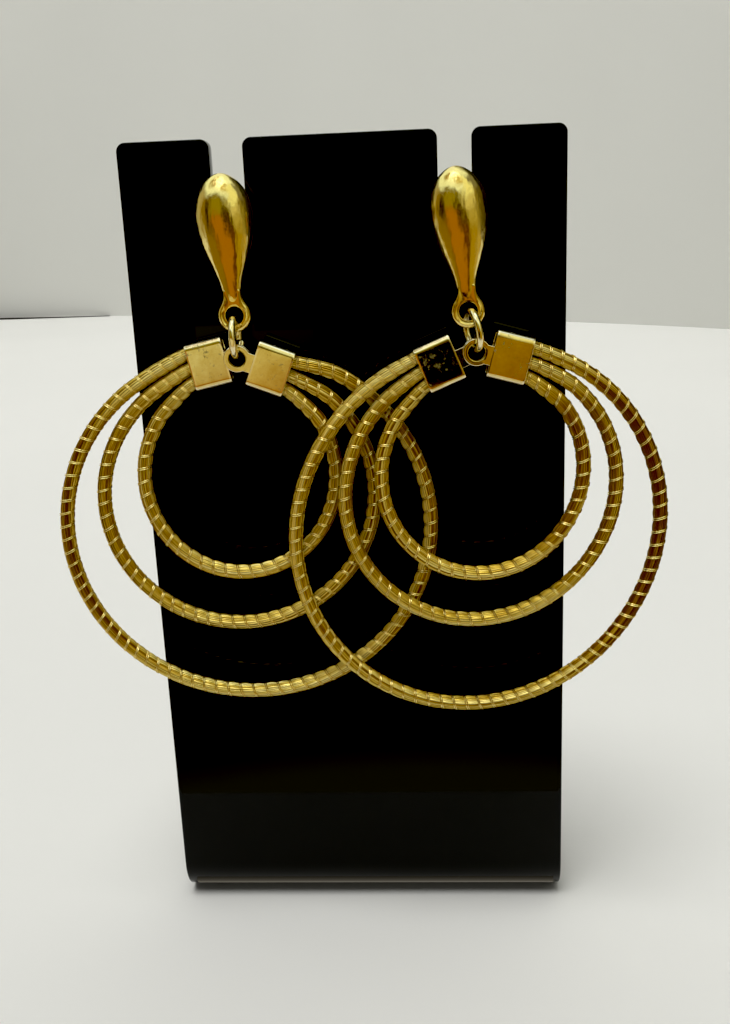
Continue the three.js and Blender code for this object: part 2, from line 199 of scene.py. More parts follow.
def tube(line, radius, sides, across):
    """A round tube: at each point of the line a circle in the plane square to it, which starts in
    the direction square to both the line and across."""
    ahead = unit(np.gradient(line, axis=0))
    first = unit(np.cross(across, ahead))
    second = np.cross(ahead, first)
    angle = np.linspace(0, 2 * math.pi, sides, endpoint=False)[None, :, None]
    radius = np.broadcast_to(radius, len(line))[:, None, None]
    return line[:, None] + radius * (np.cos(angle) * first[:, None] + np.sin(angle) * second[:, None])


print("a smooth line through 4 points has", len(smooth_line(np.eye(4)[:, :3])), "samples")

# %% [markdown]
# ## From points to pieces
#
# A piece is one mesh object with its place in its mesh. It rides on the body of the solid it
# dresses. Smooth shading is right for cast and bent metal, but a cut edge has to stay crisp, so
# edges sharper than a set angle are kept.
# %% One function makes every piece
def make_piece(name, shells, finish, body, replaces=(), crisp=40, fields=None):
    """A mesh object from closed shells in millimetres, riding on a body. Edges sharper than crisp
    degrees stay sharp, and fields are numbers kept at each point for the finish to read."""
    points = np.vstack([p for p, _ in shells]) * MM
    faces, start = [], 0
    for p, f in shells:
        faces += [[start + k for k in face] for face in f] if start else f
        start += len(p)
    mesh = bpy.data.meshes.new(name)
    mesh.from_pydata(points.tolist(), [], faces)
    mesh.shade_smooth()
    mesh.set_sharp_from_angle(angle=math.radians(crisp))
    for field, values in (fields or {}).items():
        stored = mesh.attributes.new(field, "FLOAT", "POINT").data
        stored.foreach_set("value", values.astype(np.float32))
    mesh.materials.append(finish)
    piece = bpy.data.objects.new(name, mesh)
    bpy.context.scene.collection.objects.link(piece)
    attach(piece, body)
    if replaces:
        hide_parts(*replaces)
    print(f"{name}: {len(points)} points, {len(faces)} faces")


print("a piece is made in millimetres and stored in metres, times", MM)

# %% [markdown]
# ## Finishes
#
# A finish starts from the real material. Colours are given as the eye and a screen see them, as
# sRGB hex, and one function turns them into the linear light values that a shader expects.
# Patterns are noise on Object coordinates, which stay with the piece when it swings. Their scale
# is one over a real size, so a wave 3 mm long has scale 1 / 0.003.
# %% Colour and node helpers
def linear(hex_colour):
    """sRGB hex to linear light: each channel / 12.92 when dark, else ((c + 0.055) / 1.055) ** 2.4."""
    channels = [int(hex_colour[k:k + 2], 16) / 255 for k in (1, 3, 5)]
    return (*[c / 12.92 if c <= 0.04045 else ((c + 0.055) / 1.055) ** 2.4 for c in channels], 1)


def add_node(tree, kind, inputs=None, **settings):
    """A node with its settings. Each input is a value, a socket, or a node, whose first output in
    use is taken."""
    node = tree.nodes.new(kind)
    for key, value in settings.items():
        setattr(node, key, value)
    for key, value in (inputs or {}).items():
        if isinstance(value, bpy.types.Node):
            value = next(socket for socket in value.outputs if socket.enabled)
        if isinstance(value, bpy.types.NodeSocket):
            tree.links.new(value, node.inputs[key])
        else:
            node.inputs[key].default_value = value
    return node


def new_finish(name):
    """An empty material, its node tree, and the Object coordinates."""
    finish = bpy.data.materials.new(name)
    finish.use_nodes = True
    finish.node_tree.nodes.clear()
    place = add_node(finish.node_tree, "ShaderNodeTexCoord").outputs["Object"]
    return finish, finish.node_tree, place


def between(low, high, to_low=0.0, to_high=1.0):
    """A Map Range node's four numbers: low to high becomes to_low to to_high, and is clipped there."""
    return {"From Min": low, "From Max": high, "To Min": to_low, "To Max": to_high}


SHARE, FIRST, SECOND = 0, 6, 7  # a colour Mix node's sockets: how much of the second, and the two

print("mid grey in linear light:", round(linear("#808080")[0], 3))

# %% [markdown]
# ### Black acrylic
#
# The stand is cast acrylic (PMMA) sheet, black all through. Its skin is as smooth as glass, so
# it shows a sharp, faint mirror image of what hangs in front of it and hardly any colour of its
# own. A breath of haze, from handling and dusting, keeps it from looking like a hole.
# %% Cast black acrylic
acrylic, tree, place = new_finish("cast_black_acrylic")
haze = add_node(tree, "ShaderNodeTexNoise", {"Vector": place, "Scale": 1 / (14 * MM), "Detail": 3.0})
sheen = add_node(tree, "ShaderNodeMapRange", {"Value": haze, **between(0.35, 0.65, 0.03, 0.07)})
shader = add_node(tree, "ShaderNodeBsdfPrincipled", {
    "Base Color": linear("#020202"), "IOR": 1.49, "Specular IOR Level": 0.3, "Roughness": sheen})
add_node(tree, "ShaderNodeOutputMaterial", {"Surface": shader})
print(acrylic.name)

# %% [markdown]
# ### Polished gold plate
#
# The studs and nuts are brass, cast or pressed, then tumbled, polished and gold plated.
# Polishing leaves a mirror, but one with slow waves a few millimetres long, drawn out along the
# stud as the wheel ran, and a fine orange peel. That is why the reflections of the lights wobble.
# The waves are relief on the normal, because they are less than a tenth of a millimetre deep. A
# real orange peel is too fine to show from here, so it is drawn coarser, at 0.45 mm.
# %% Polished gold plate
polished_gold, tree, place = new_finish("polished_gold_plate")
drawn_out = add_node(tree, "ShaderNodeMapping", {"Vector": place, "Scale": (1, 1, 0.4)})
waves = add_node(tree, "ShaderNodeTexNoise", {
    "Vector": drawn_out, "Scale": 1 / (2 * MM), "Detail": 2.0})
peel = add_node(tree, "ShaderNodeTexNoise", {
    "Vector": place, "Scale": 1 / (0.45 * MM), "Detail": 3.0})
worn = add_node(tree, "ShaderNodeMapRange", {"Value": peel, **between(0.3, 0.7, 0.06, 0.24)})
wavy = add_node(tree, "ShaderNodeBump", {"Height": waves, "Distance": 0.2 * MM})
relief = add_node(tree, "ShaderNodeBump", {"Height": peel, "Distance": 0.012 * MM, "Normal": wavy})
shader = add_node(tree, "ShaderNodeBsdfPrincipled", {
    "Base Color": linear("#F0DA8C"), "Metallic": 1.0, "Roughness": worn, "Normal": relief})
add_node(tree, "ShaderNodeOutputMaterial", {"Surface": shader})
print(polished_gold.name)

# %% [markdown]
# ### Gold plated wire
#
# The jump rings are bent from drawn wire. Their plating is thinner and paler than the castings',
# and drawing leaves the wire a little duller than polishing would. Its marks are too fine to show
# from here, so they are drawn as coarse as 0.3 mm.
# %% Gold plated wire
pale_wire, tree, place = new_finish("pale_gold_wire")
drawn = add_node(tree, "ShaderNodeTexNoise", {"Vector": place, "Scale": 1 / (0.3 * MM), "Detail": 2.0})
worn = add_node(tree, "ShaderNodeMapRange", {"Value": drawn, **between(0.3, 0.7, 0.1, 0.2)})
relief = add_node(tree, "ShaderNodeBump", {"Height": drawn, "Distance": 0.004 * MM})
shader = add_node(tree, "ShaderNodeBsdfPrincipled", {
    "Base Color": linear("#FAEFC4"), "Metallic": 1.0, "Roughness": worn, "Normal": relief})
add_node(tree, "ShaderNodeOutputMaterial", {"Surface": shader})
print(pale_wire.name)

# %% [markdown]
# ### Satin gold plate
#
# The clamps are folded from plated brass strip that was only lightly brushed. The faces are
# smooth but not sharp mirrors, with cloudy smudges left by handling. Where the strip bends the
# base colour is paler: partly brass rubbed pale, partly a painted highlight of the light on the
# folds. The worn field, stored on the mesh, marks the folds. Fingers leave a thin olive film in
# flecks. It hides the metal, so it shows most where the face mirrors something dark, and the
# touched field says where it gathers.
# %% Satin gold plate
satin_gold, tree, place = new_finish("satin_gold_plate")
smudge = add_node(tree, "ShaderNodeTexNoise", {
    "Vector": place, "Scale": 1 / (2.4 * MM), "Detail": 5.0, "Roughness": 0.65})
speck = add_node(tree, "ShaderNodeTexNoise", {
    "Vector": place, "Scale": 1 / (0.9 * MM), "Detail": 6.0, "Roughness": 0.7})
wear_and_painted_highlight = add_node(tree, "ShaderNodeAttribute", attribute_name="worn").outputs["Fac"]
cloud = add_node(tree, "ShaderNodeMapRange", {"Value": smudge, **between(0.32, 0.68)})
clouded = add_node(tree, "ShaderNodeMix", {
    SHARE: cloud, FIRST: linear("#EFE0A0"), SECOND: linear("#DCC478")}, data_type="RGBA")
# partly wear, partly painted highlight: the folds and the mouths' edges get a paler base colour
with_wear_and_painted_highlight = add_node(tree, "ShaderNodeMix", {
    SHARE: wear_and_painted_highlight, FIRST: clouded, SECOND: linear("#FFF4D8")}, data_type="RGBA")
dull = add_node(tree, "ShaderNodeMapRange", {"Value": smudge, **between(0.35, 0.65, 0.08, 0.18)})
touched = add_node(tree, "ShaderNodeAttribute", attribute_name="touched").outputs["Fac"]
caught = add_node(tree, "ShaderNodeMath", {0: touched, 1: 0.12, 2: speck}, operation="MULTIPLY_ADD")
fleck = add_node(tree, "ShaderNodeMapRange", {"Value": caught, **between(0.61, 0.71, 0, 0.18)})
film = add_node(tree, "ShaderNodeMapRange", {"Value": caught, **between(0.61, 0.71, 0, 0.9)})
filmed = add_node(tree, "ShaderNodeMix", {
    SHARE: film, FIRST: with_wear_and_painted_highlight, SECOND: linear("#665C1E")}, data_type="RGBA")
bare = add_node(tree, "ShaderNodeMapRange", {"Value": caught, **between(0.61, 0.71, 1, 0.45)})
duller = add_node(tree, "ShaderNodeMath", {0: dull, 1: fleck}, operation="ADD")
relief = add_node(tree, "ShaderNodeBump", {"Height": smudge, "Distance": 0.012 * MM})
shader = add_node(tree, "ShaderNodeBsdfPrincipled", {
    "Base Color": filmed, "Metallic": bare, "Roughness": duller, "Normal": relief})
add_node(tree, "ShaderNodeOutputMaterial", {"Surface": shader})
print(satin_gold.name)

# %% [markdown]
# ### Golden grass
#
# Capim dourado is a dry stalk with a hard, waxy skin that shines like metal along its length.
# Stalks differ from straw yellow to a reddish brown, and each carries finer lengthwise streaks.
# The seams between two stalks are painted dark, as painted shade, and darker still where the
# stalks crowd into a clamp. Four fields stored on the mesh say where a point is: tint is the
# stalk's own shade, then painted shade, how much darker and redder a stretch of hoop is painted
# towards its sides, then along, the distance down the hoop, and across, which runs from about -1
# to 1 over the stalk and further where the painted seam shade is deeper. Noise is read at
# stretched places, so that its blotches become streaks 6 mm long, and at places far apart for two
# stalks, so that no streak runs on into the next. Sheen gives the waxy skin its pale edges.
# %% Golden grass stalks
golden_grass, tree, place = new_finish("golden_grass_stalk")
tint, painted_side_shade, along, across = (add_node(tree, "ShaderNodeAttribute", attribute_name=name).outputs["Fac"]
                             for name in ("tint", "painted_side_shade", "along", "across"))
STREAKS_PER_MM = 0.16
drawn_out = add_node(tree, "ShaderNodeMath", {0: along, 1: STREAKS_PER_MM}, operation="MULTIPLY")
apart = add_node(tree, "ShaderNodeMath", {0: tint, 1: 57.0}, operation="MULTIPLY")
finely = add_node(tree, "ShaderNodeMath", {0: across, 1: 1.6}, operation="MULTIPLY")
stretched = add_node(tree, "ShaderNodeCombineXYZ", {"X": drawn_out, "Y": apart, "Z": finely})
streaks = add_node(tree, "ShaderNodeTexNoise", {
    "Vector": stretched, "Scale": 1.0, "Detail": 4.0, "Roughness": 0.65})
streaky = add_node(tree, "ShaderNodeMapRange", {"Value": streaks, **between(0.3, 0.7, -0.35, 0.35)})
own_shade = add_node(tree, "ShaderNodeMath", {0: streaky, 1: tint}, operation="ADD")
# painted shade: the stalks are painted darker and redder towards the hoops' sides
shade = add_node(tree, "ShaderNodeMath", {0: own_shade, 1: painted_side_shade}, operation="SUBTRACT")
ramp = add_node(tree, "ShaderNodeValToRGB", {"Fac": shade})
stops = ramp.color_ramp.elements
stops[0].color, stops[1].color = linear("#6A380A"), linear("#FCF0A0")
for position, colour in ((0.2, "#A87C20"), (0.45, "#DEC050")):
    stops.new(position).color = linear(colour)
# painted shade: the seams between two stalks are darkened towards #3E2004, where shade falls between
# them
off_middle = add_node(tree, "ShaderNodeMath", {0: across}, operation="ABSOLUTE")
seam = add_node(tree, "ShaderNodeMapRange", {"Value": off_middle, **between(0.7, 1.05, 0, 0.95)})
with_painted_seam_shade = add_node(tree, "ShaderNodeMix", {
    SHARE: seam, FIRST: ramp, SECOND: linear("#3E2004")}, data_type="RGBA")
waxy = add_node(tree, "ShaderNodeMapRange", {"Value": streaks, **between(0.3, 0.7, 0.24, 0.4)})
relief = add_node(tree, "ShaderNodeBump", {"Height": streaks, "Distance": 0.04 * MM})
shader = add_node(tree, "ShaderNodeBsdfPrincipled", {
    "Base Color": with_painted_seam_shade, "Metallic": 0.6, "Roughness": waxy, "Specular Tint": linear("#F4E0A8"),
    "Sheen Weight": 0.5, "Sheen Roughness": 0.35, "Sheen Tint": linear("#E8D478"), "Normal": relief})
add_node(tree, "ShaderNodeOutputMaterial", {"Surface": shader})
print(golden_grass.name, "with", len(stops), "colour stops")

# %% [markdown]
# ### Metal thread
#
# The winding is a pair of fine gold metallised yarns, paler and shinier than the stalks: a thin
# strip of metallised film spun round a core. Its facets glint one by one, about as far apart as
# the yarn is thick, and these glints are painted into the colour as painted highlights that change
# over 0.25 mm.
# %% Gold metallised thread
gold_thread, tree, place = new_finish("gold_metallised_thread")
glint = add_node(tree, "ShaderNodeTexNoise", {"Vector": place, "Scale": 1 / (0.25 * MM), "Detail": 1.0})
painted_glint_share = add_node(tree, "ShaderNodeMapRange", {"Value": glint, **between(0.35, 0.65)})
# painted glints: spots of paler base colour stand in for facets that catch the light
yarn = add_node(tree, "ShaderNodeMix", {
    SHARE: painted_glint_share, FIRST: linear("#D8B458"), SECOND: linear("#FFF2A8")}, data_type="RGBA")
shader = add_node(tree, "ShaderNodeBsdfPrincipled", {
    "Base Color": yarn, "Metallic": 0.9, "Roughness": 0.24, "Specular Tint": linear("#F4DC90")})
add_node(tree, "ShaderNodeOutputMaterial", {"Surface": shader})
print(gold_thread.name)

# %% [markdown]
# ## The stand
#
# The real stand is cut flat from sheet with its slots and rounded corners, its edges are
# polished, and then it is heated along one line and bent. The mesh is made in the same order. A
# point of the flat blank is x across, s down the outer face from the top, and d into the sheet.
# The edge is a small rounded profile carried round the outline, and at last one function bends
# all the points, so the slots, the corners and the bend can't disagree.
# %% The blank's outline
BEND_START = STAND["height"] - STAND["bend"]
BEND_LENGTH = STAND["bend"] * math.pi / 2
BEND_END = BEND_START + BEND_LENGTH
BLANK_END = BEND_END + STAND["foot"] - STAND["bend"]
BEND_STEPS = 16
SLOT_CORNER = 0.5  # radius of the two corners at the floor of a slot
EDGE = 0.3         # radius of the polished edge
EDGE_BAND = 0.6    # a flat band beside it, so that the large faces stay perfectly flat


def corner_arc(before, corner, after, radius, steps=8):
    """Points and outward directions of the arc that rounds a corner, for an outline walked
    clockwise. The arc touches both sides at radius / tan(half angle) from the corner."""
    back, on = unit(before - corner), unit(after - corner)
    half = math.acos(np.clip(back @ on, -1, 1)) / 2
    centre = corner + unit(back + on) * radius / math.sin(half)
    first = corner + back * radius / math.tan(half) - centre
    last = corner + on * radius / math.tan(half) - centre
    share = np.linspace(0, 1, steps)[:, None]
    spokes = unit(first * (1 - share) + last * share)
    cross = back[0] * on[1] - back[1] * on[0]
    return centre + spokes * radius, spokes * math.copysign(1, -cross)


def blank_outline():
    """The blank's outline in x and s with its outward directions, from the left bend line up over
    the fingers between the slots, down to the right bend line and round the foot."""
    half, centre, slot = STAND["width"] / 2, STAND["slot_centre"], STAND["slot"] / 2
    floor, r = STAND["height"] - STAND["slot_floor"], STAND["corner"]
    corners = [(-half, BEND_START, 0), (-half, 0, r)]
    for x in (-centre, centre):
        corners += [(x - slot, 0, r), (x - slot, floor, SLOT_CORNER),
                    (x + slot, floor, SLOT_CORNER), (x + slot, 0, r)]
    corners += [(half, 0, r), (half, BEND_START, 0)]
    along_bend = [BEND_START + BEND_LENGTH * k / BEND_STEPS for k in range(1, BEND_STEPS + 1)]
    corners += [(half, s, 0) for s in along_bend]
    corners += [(half, BLANK_END, r), (-half, BLANK_END, r)]
    corners += [(-half, s, 0) for s in reversed(along_bend)]
    places = np.array([(x, s) for x, s, _ in corners], float)
    points, outward = [], []
    for k, (x, s, radius) in enumerate(corners):
        if radius:
            arc, spokes = corner_arc(places[k - 1], places[k], places[(k + 1) % len(places)], radius)
        else:
            arc, spokes = np.array([(x, s)]), np.array([(math.copysign(1, x), 0)])
        points.append(arc)
        outward.append(spokes)
    return np.vstack(points), np.vstack(outward)


outline, outward = blank_outline()
print("the outline has", len(outline), "points")

# %% Bending the sheet
def bent(x, s, d):
    """Blank to stand: straight down to the bend, then an angle of (s - start) / radius round the
    bend's axis, then straight back."""
    angle = np.clip((s - BEND_START) / STAND["bend"], 0, math.pi / 2)
    r = STAND["bend"] - d
    y = PANEL_Y + STAND["bend"] - r * np.cos(angle) + np.maximum(s - BEND_END, 0)
    z = STAND["bend"] - r * np.sin(angle) + np.maximum(BEND_START - s, 0)
    return np.stack([x + 0 * y, y, z], -1)


print("the foot's end lies at y =", bent(0, BLANK_END, 0)[1].round(1), "mm")

# %% The stand's surface
def stand_shell():
    """The edge is a grid of outline points by profile points, and each large face is one polygon
    over the grid's first or last column, in three parts: panel, bend and foot."""
    quarter = np.linspace(0, math.pi / 2, 5)
    into = np.concatenate([[EDGE + EDGE_BAND], EDGE * (1 - np.sin(quarter))])
    depth = np.concatenate([[0], EDGE * (1 - np.cos(quarter))])
    into = np.concatenate([into, into[::-1]])
    depth = np.concatenate([depth, STAND["sheet"] - depth[::-1]])
    flat = outline[:, None] - outward[:, None] * into[None, :, None]
    grid = bent(flat[..., 0], flat[..., 1], depth[None, :])
    rows, columns = grid.shape[:2]
    edge = grid_quads(rows, columns, wrap_rows=True)[:, [0, 3, 2, 1]]
    right = int(np.argmax((outline[:, 0] > 0) & (outline[:, 1] >= BEND_START)))
    foot_left = rows - BEND_STEPS
    panel = np.arange(right + 1)
    foot = np.arange(right + BEND_STEPS, foot_left + 1)
    left = np.concatenate([[0], np.arange(rows - 1, foot_left - 1, -1)])
    faces = edge.tolist()
    for column, order in ((0, 1), (columns - 1, -1)):
        for polygon in (panel, foot):
            faces.append((polygon * columns + column)[::-order].tolist())
        for k in range(BEND_STEPS):
            strip = np.array([left[k], right + k, right + k + 1, left[k + 1]]) * columns + column
            faces.append(strip[::-order].tolist())
    return grid.reshape(-1, 3), faces


make_piece("bent_acrylic_stand", [stand_shell()], acrylic, "stand", ["stand"], crisp=30)

# %% [markdown]
# ## The studs
#
# A stud is one casting: a teardrop bulb, a neck and a flat eye, with the post soldered behind.
# The bulb is a stack of rings whose half width comes from a smooth line through the table above.
# A ring is half an ellipse in front and another behind. The mould's parting line runs down both
# sides as a fine raised seam. It catches the light beside the dark flank, so it is worth having.
# %% The bulb
SEAM_HEIGHT, SEAM_WIDTH, SEAM_Y = 0.1, 0.13, 0.1  # mm, the seam lying just behind the sides


def bulb_shell(columns=112):
    """Ring points at an angle u: x = w cos u, y = set back + w depth sin u, where w is the half
    width at that height. The angle is slowed near the sides, where the seam needs close points,
    and the seam is a bump of height exp(-((y - seam y) / seam width)^2) outwards, which fades at
    both ends. The front is a third flatter at the neck, where it fades into the eye."""
    rows = smooth_line(BULB.astype(float), samples=7)[1:]
    heights, widths = rows[:, 0][:, None], rows[:, 1][:, None]
    even = np.linspace(0, 2 * math.pi, columns, endpoint=False)[None, :]
    u = even - 0.44 * np.sin(2 * even)
    flatter = 1 - 0.34 * (1 - smoothstep(heights, 0, STUD["post_above_eye"]))
    depth = np.where(np.sin(u) < 0, STUD["front"] * flatter, STUD["back"])
    y = widths * depth * np.sin(u)
    fade = smoothstep(heights, 4.3, 7) * smoothstep(-heights, -24.4, -21)
    seam = SEAM_HEIGHT * np.exp(-((y - SEAM_Y) / SEAM_WIDTH) ** 2) * fade
    x = widths * np.cos(u) + seam * np.sign(np.cos(u))
    set_back = STUD["set_back"] * smoothstep(heights, STUD["neck_above_eye"], STUD["post_above_eye"])
    return shell(np.stack([x, y + set_back, heights + 0 * x], -1))


print("the bulb has", len(bulb_shell()[1]), "faces")

# %% [markdown]
# The eye is flat where the bulb is round, so it is a band of metal between a hole and an outline,
# with soft bevels as a mould leaves them. The post is turned from a profile, like a nail.
# %% The eye and the post
def eye_radius(angle):
    """The eye's outline as a distance from the hole's centre: round below, and above drawn in to
    the neck along a curve with ends P, R and control point Q, (1-t)^2 P + 2t(1-t) Q + t^2 R."""
    shoulder, r = math.radians(35), STUD["eye_radius"]
    p = np.array([r * math.cos(shoulder), r * math.sin(shoulder)])
    q, end = np.array([STUD["neck"], r * 0.95]), np.array([STUD["neck"], STUD["neck_above_eye"]])
    t = np.linspace(0, 1, 30)[:, None]
    side = (1 - t) ** 2 * p + 2 * t * (1 - t) * q + t**2 * end
    side = np.vstack([side, [(0, STUD["neck_above_eye"])]])
    turn = np.arctan2(side[:, 1], side[:, 0])
    folded = np.abs((angle - math.pi / 2 + math.pi) % (2 * math.pi) - math.pi)
    return np.where(folded > math.pi / 2 - shoulder, r,
                    np.interp(folded, (math.pi / 2 - turn)[::-1], np.hypot(*side.T)[::-1]))


def band_grid(hole, outer, profile, bevel, columns=96):
    """Points of a flat ring of metal: profile rows (share, bevel share, y) run from the hole's edge
    over the front to the outer edge and back behind. The radius is hole + share times (outer -
    hole - bevel) + bevel share times bevel, so the bevel is as wide where the outline reaches out."""
    angle = np.linspace(0, 2 * math.pi, columns, endpoint=False)[None, :]
    share, edge, y = profile[:, :1], profile[:, 1:2], profile[:, 2:]
    r = hole + share * (outer(angle) - hole - bevel) + edge * bevel
    return np.stack([r * np.cos(angle), y + 0 * r, r * np.sin(angle)], -1)


def lathe_shell(profile, columns=24):
    """A profile of (y, radius) rows turned about the y axis."""
    angle = np.linspace(0, 2 * math.pi, columns, endpoint=False)[None, :]
    y, r = profile[:, :1], profile[:, 1:]
    return shell(np.stack([r * np.cos(angle), y + 0 * angle, r * np.sin(angle)], -1))


EYE_BEVEL = 0.55
EYE_PROFILE = np.array([  # share of the way to the bevel, share of the bevel, y
    (0, 0, -0.42), (0.06, 0, -0.5), (0.16, 0, -0.54), (0.26, 0, -0.53), (0.5, 0, -0.56),
    (0.85, 0, -0.68), (0.95, 0, -0.73), (1, 0, -0.75), (1, 0.1, -0.74), (1, 0.4, -0.64),
    (1, 0.8, -0.45), (1, 0.95, -0.34), (1, 1, -0.2), (1, 1, 0.35), (1, 0.85, 0.52), (1, 0.4, 0.6),
    (0.3, 0, 0.6), (0.1, 0, 0.52), (0, 0, 0.4)])
POST_PROFILE = np.array([  # y, radius: a round pin with a shallow groove that the nut clicks into
    (0, 0.4), (10.6, 0.4), (10.8, 0.34), (11.1, 0.34), (11.3, 0.4), (12.6, 0.4), (12.86, 0.3),
    (13, 0.12)])
print("the eye's profile has", len(EYE_PROFILE), "points, the post's", len(POST_PROFILE))

# %% The two studs
def eye_y(earring):
    """The eye hangs midway between the drop's two loops."""
    return PANEL_Y + earring["pivot"][1] - (CLAMP["thickness"] - CLAMP["loop_thickness"]) / 2


def stud_shells(earring):
    """The stud's shells about its eye, leaned sideways and carried to its place. The bulb sits a
    little askew on its post."""
    x, z = earring["eye"]
    bulb, bulb_faces = bulb_shell()
    eye = band_grid(STUD["eye_hole"], eye_radius, EYE_PROFILE, EYE_BEVEL)
    post, post_faces = lathe_shell(POST_PROFILE)
    shells = [(turned(bulb, "y", -math.radians(earring["bulb_lean"])), bulb_faces),
              shell(eye, wrap_rows=True), (post + (0, 0, STUD["post_above_eye"]), post_faces)]
    place = np.array([x, eye_y(earring), z])
    return [(turned(p, "y", -math.radians(earring["lean"])) + place, f) for p, f in shells]


for earring in EARRINGS:
    side = earring["side"]
    make_piece(f"{side}_teardrop_stud", stud_shells(earring), polished_gold, "stand",
               [f"{side}_stud"])

# %% [markdown]
# ## Ear nuts
#
# The butterfly nut behind the panel is a pressed plate whose two ends curl back to grip the
# post. The plate and each curl are closed surfaces of their own that overlap, because hardly
# anyone sees where they join.
# %% Plate and curls of a nut
def rounded_loop(width, height, radius, steps=8):
    """A rounded rectangle's points and outward directions in a plane, counterclockwise."""
    quarter = np.linspace(0, math.pi / 2, steps)
    angle = np.concatenate([quarter + k * math.pi / 2 for k in range(4)])
    out = np.stack([np.cos(angle), np.sin(angle)], 1)
    signs = np.repeat([(1, 1), (-1, 1), (-1, -1), (1, -1)], steps, axis=0)
    return signs * (width / 2 - radius, height / 2 - radius) + radius * out, out


def plate_shell():
    """The plate as a band between its hole and its outline: rows run over the front, round the
    edge and back, and a share places a point between the hole's circle and the outline."""
    outer, _ = rounded_loop(NUT["width"], NUT["height"], NUT["corner"])
    direction = unit(outer)
    profile = np.array([(0, 0.12), (0.05, 0), (0.94, 0), (1, 0.1), (1, 0.36), (0.94, 0.45),
                        (0.05, 0.45), (0, 0.33)])
    share, y = profile[:, :1, None], profile[:, 1:]
    flat = NUT["hole"] * direction * (1 - share) + outer * share
    return shell(np.stack([flat[..., 0], y + 0 * flat[..., 0], flat[..., 1]], -1), wrap_rows=True)


def curl_shell(sign):
    """A strip curled through 1.6 half turns: an arc of angle a at radius r about the curl's axis,
    as tall as 0.8 of the plate, with its edge rounded all the way round."""
    centre = np.array([NUT["curl"] + 0.75, NUT["plate"] + NUT["curl"] - 0.15])
    along = np.linspace(-math.pi / 2, 1.1 * math.pi, 40)
    section, _ = rounded_loop(NUT["wall"], NUT["height"] * 0.8, 0.15, steps=4)
    r = NUT["curl"] - NUT["wall"] / 2 + section[None, :, 0]
    x = centre[0] + r * np.cos(along)[:, None]
    y = centre[1] + r * np.sin(along)[:, None]
    return shell(np.stack([sign * x, y, section[None, :, 1] + 0 * x], -1))


print("a curl has", len(curl_shell(1)[1]), "faces")

# %% The two butterfly nuts
GAP = 0.3  # mm between two pieces that touch on the real earring

for earring in EARRINGS:
    side, lean = earring["side"], math.radians(earring["lean"])
    place = np.array([earring["eye"][0] - STUD["post_above_eye"] * math.sin(lean),
                      PANEL_Y + STAND["sheet"] + GAP,
                      earring["eye"][1] + STUD["post_above_eye"] * math.cos(lean)])
    shells = [plate_shell(), curl_shell(1), curl_shell(-1)]
    make_piece(f"{side}_butterfly_nut", [(p + place, f) for p, f in shells], polished_gold, "stand",
               [f"{side}_ear_nut"])

# %% [markdown]
# ## Jump rings
#
# A jump ring is a wire bent round until its ends meet. It is a tube along a circle that is open
# for a few degrees, and one end stands a little aside, as it does once a ring was opened.
# %% Jump rings
def ring_shell(earring, aside=0.55):
    """The wire's line in the y-z plane, with the lower wire at the origin: y = R cos a and
    z = R (1 + sin a). The last part steps aside by up to 0.55 mm."""
    gap = math.radians(RING["cut"])
    angle = math.radians(earring["ring_cut"]) + gap / 2 + np.linspace(0, 2 * math.pi - gap, 97)
    r = RING["radius"]
    step = aside * smoothstep(angle - angle[0], 1.62 * math.pi, 2 * math.pi)
    line = np.stack([step, r * np.cos(angle), r * (1 + np.sin(angle))], 1)
    taper = np.full(len(line), RING["wire"])
    taper[[0, -1]] *= 0.86
    points, faces = shell(tube(line, taper, 20, np.array([1.0, 0, 0])))
    points = turned(turned(points, "y", -math.radians(earring["ring_tilt"])), "z",
                    math.radians(earring["ring_turn"]))
    return points + (earring["pivot"][0], eye_y(earring), earring["pivot"][2]), faces


for earring in EARRINGS:
    side = earring["side"]
    make_piece(f"{side}_wire_ring", [ring_shell(earring)], pale_wire, "stand",
               [f"{side}_jump_ring"])

# %% [markdown]
# ## The clamps
#
# Each clamp is a strip folded into a flat sleeve round the ends of the three bundles, and its
# front wall runs on into a tongue with a loop. The sleeve is one section, a rounded rectangle,
# carried along x and back inside itself, so that both mouths get rounded edges. A slight crown
# on the faces and a slit where the strip's edges meet behind keep it from looking machined.
#
# Two fields ride on a clamp's points for its material: worn marks the folds and the edges, where
# the base colour is paler, partly rubbed plating and partly a painted highlight, and touched marks
# the spot that a finger has handled most.
# %% The sleeve
SLEEVE_EDGE = 0.12  # rounding of the mouths' edges
CROWN = 0.05        # how far the flat faces bulge
SLIT = 0.22         # depth of the slit where the strip's edges meet
SPOT = 2.2          # radius of the handled spot


def sleeve_rows():
    """Each row's x along the sleeve and its depth under the outer surface: from one mouth to the
    other outside, over quarter circles at the mouths, and back inside at the wall's depth."""
    half, wall, edge = CLAMP["length"] / 2, CLAMP["wall"], SLEEVE_EDGE
    arc = np.linspace(0, math.pi / 2, 4)
    x = np.concatenate([-half + edge - edge * np.cos(arc), np.linspace(-half + 0.5, half - 0.5, 9),
                        half - edge + edge * np.sin(arc),
                        [half, half - edge, 0.5 * half, -0.5 * half, -half + edge, -half]])
    depth = np.concatenate([edge - edge * np.sin(arc), np.zeros(9), edge - edge * np.cos(arc),
                            [wall - edge, wall, wall, wall, wall, wall - edge]])
    return x, depth


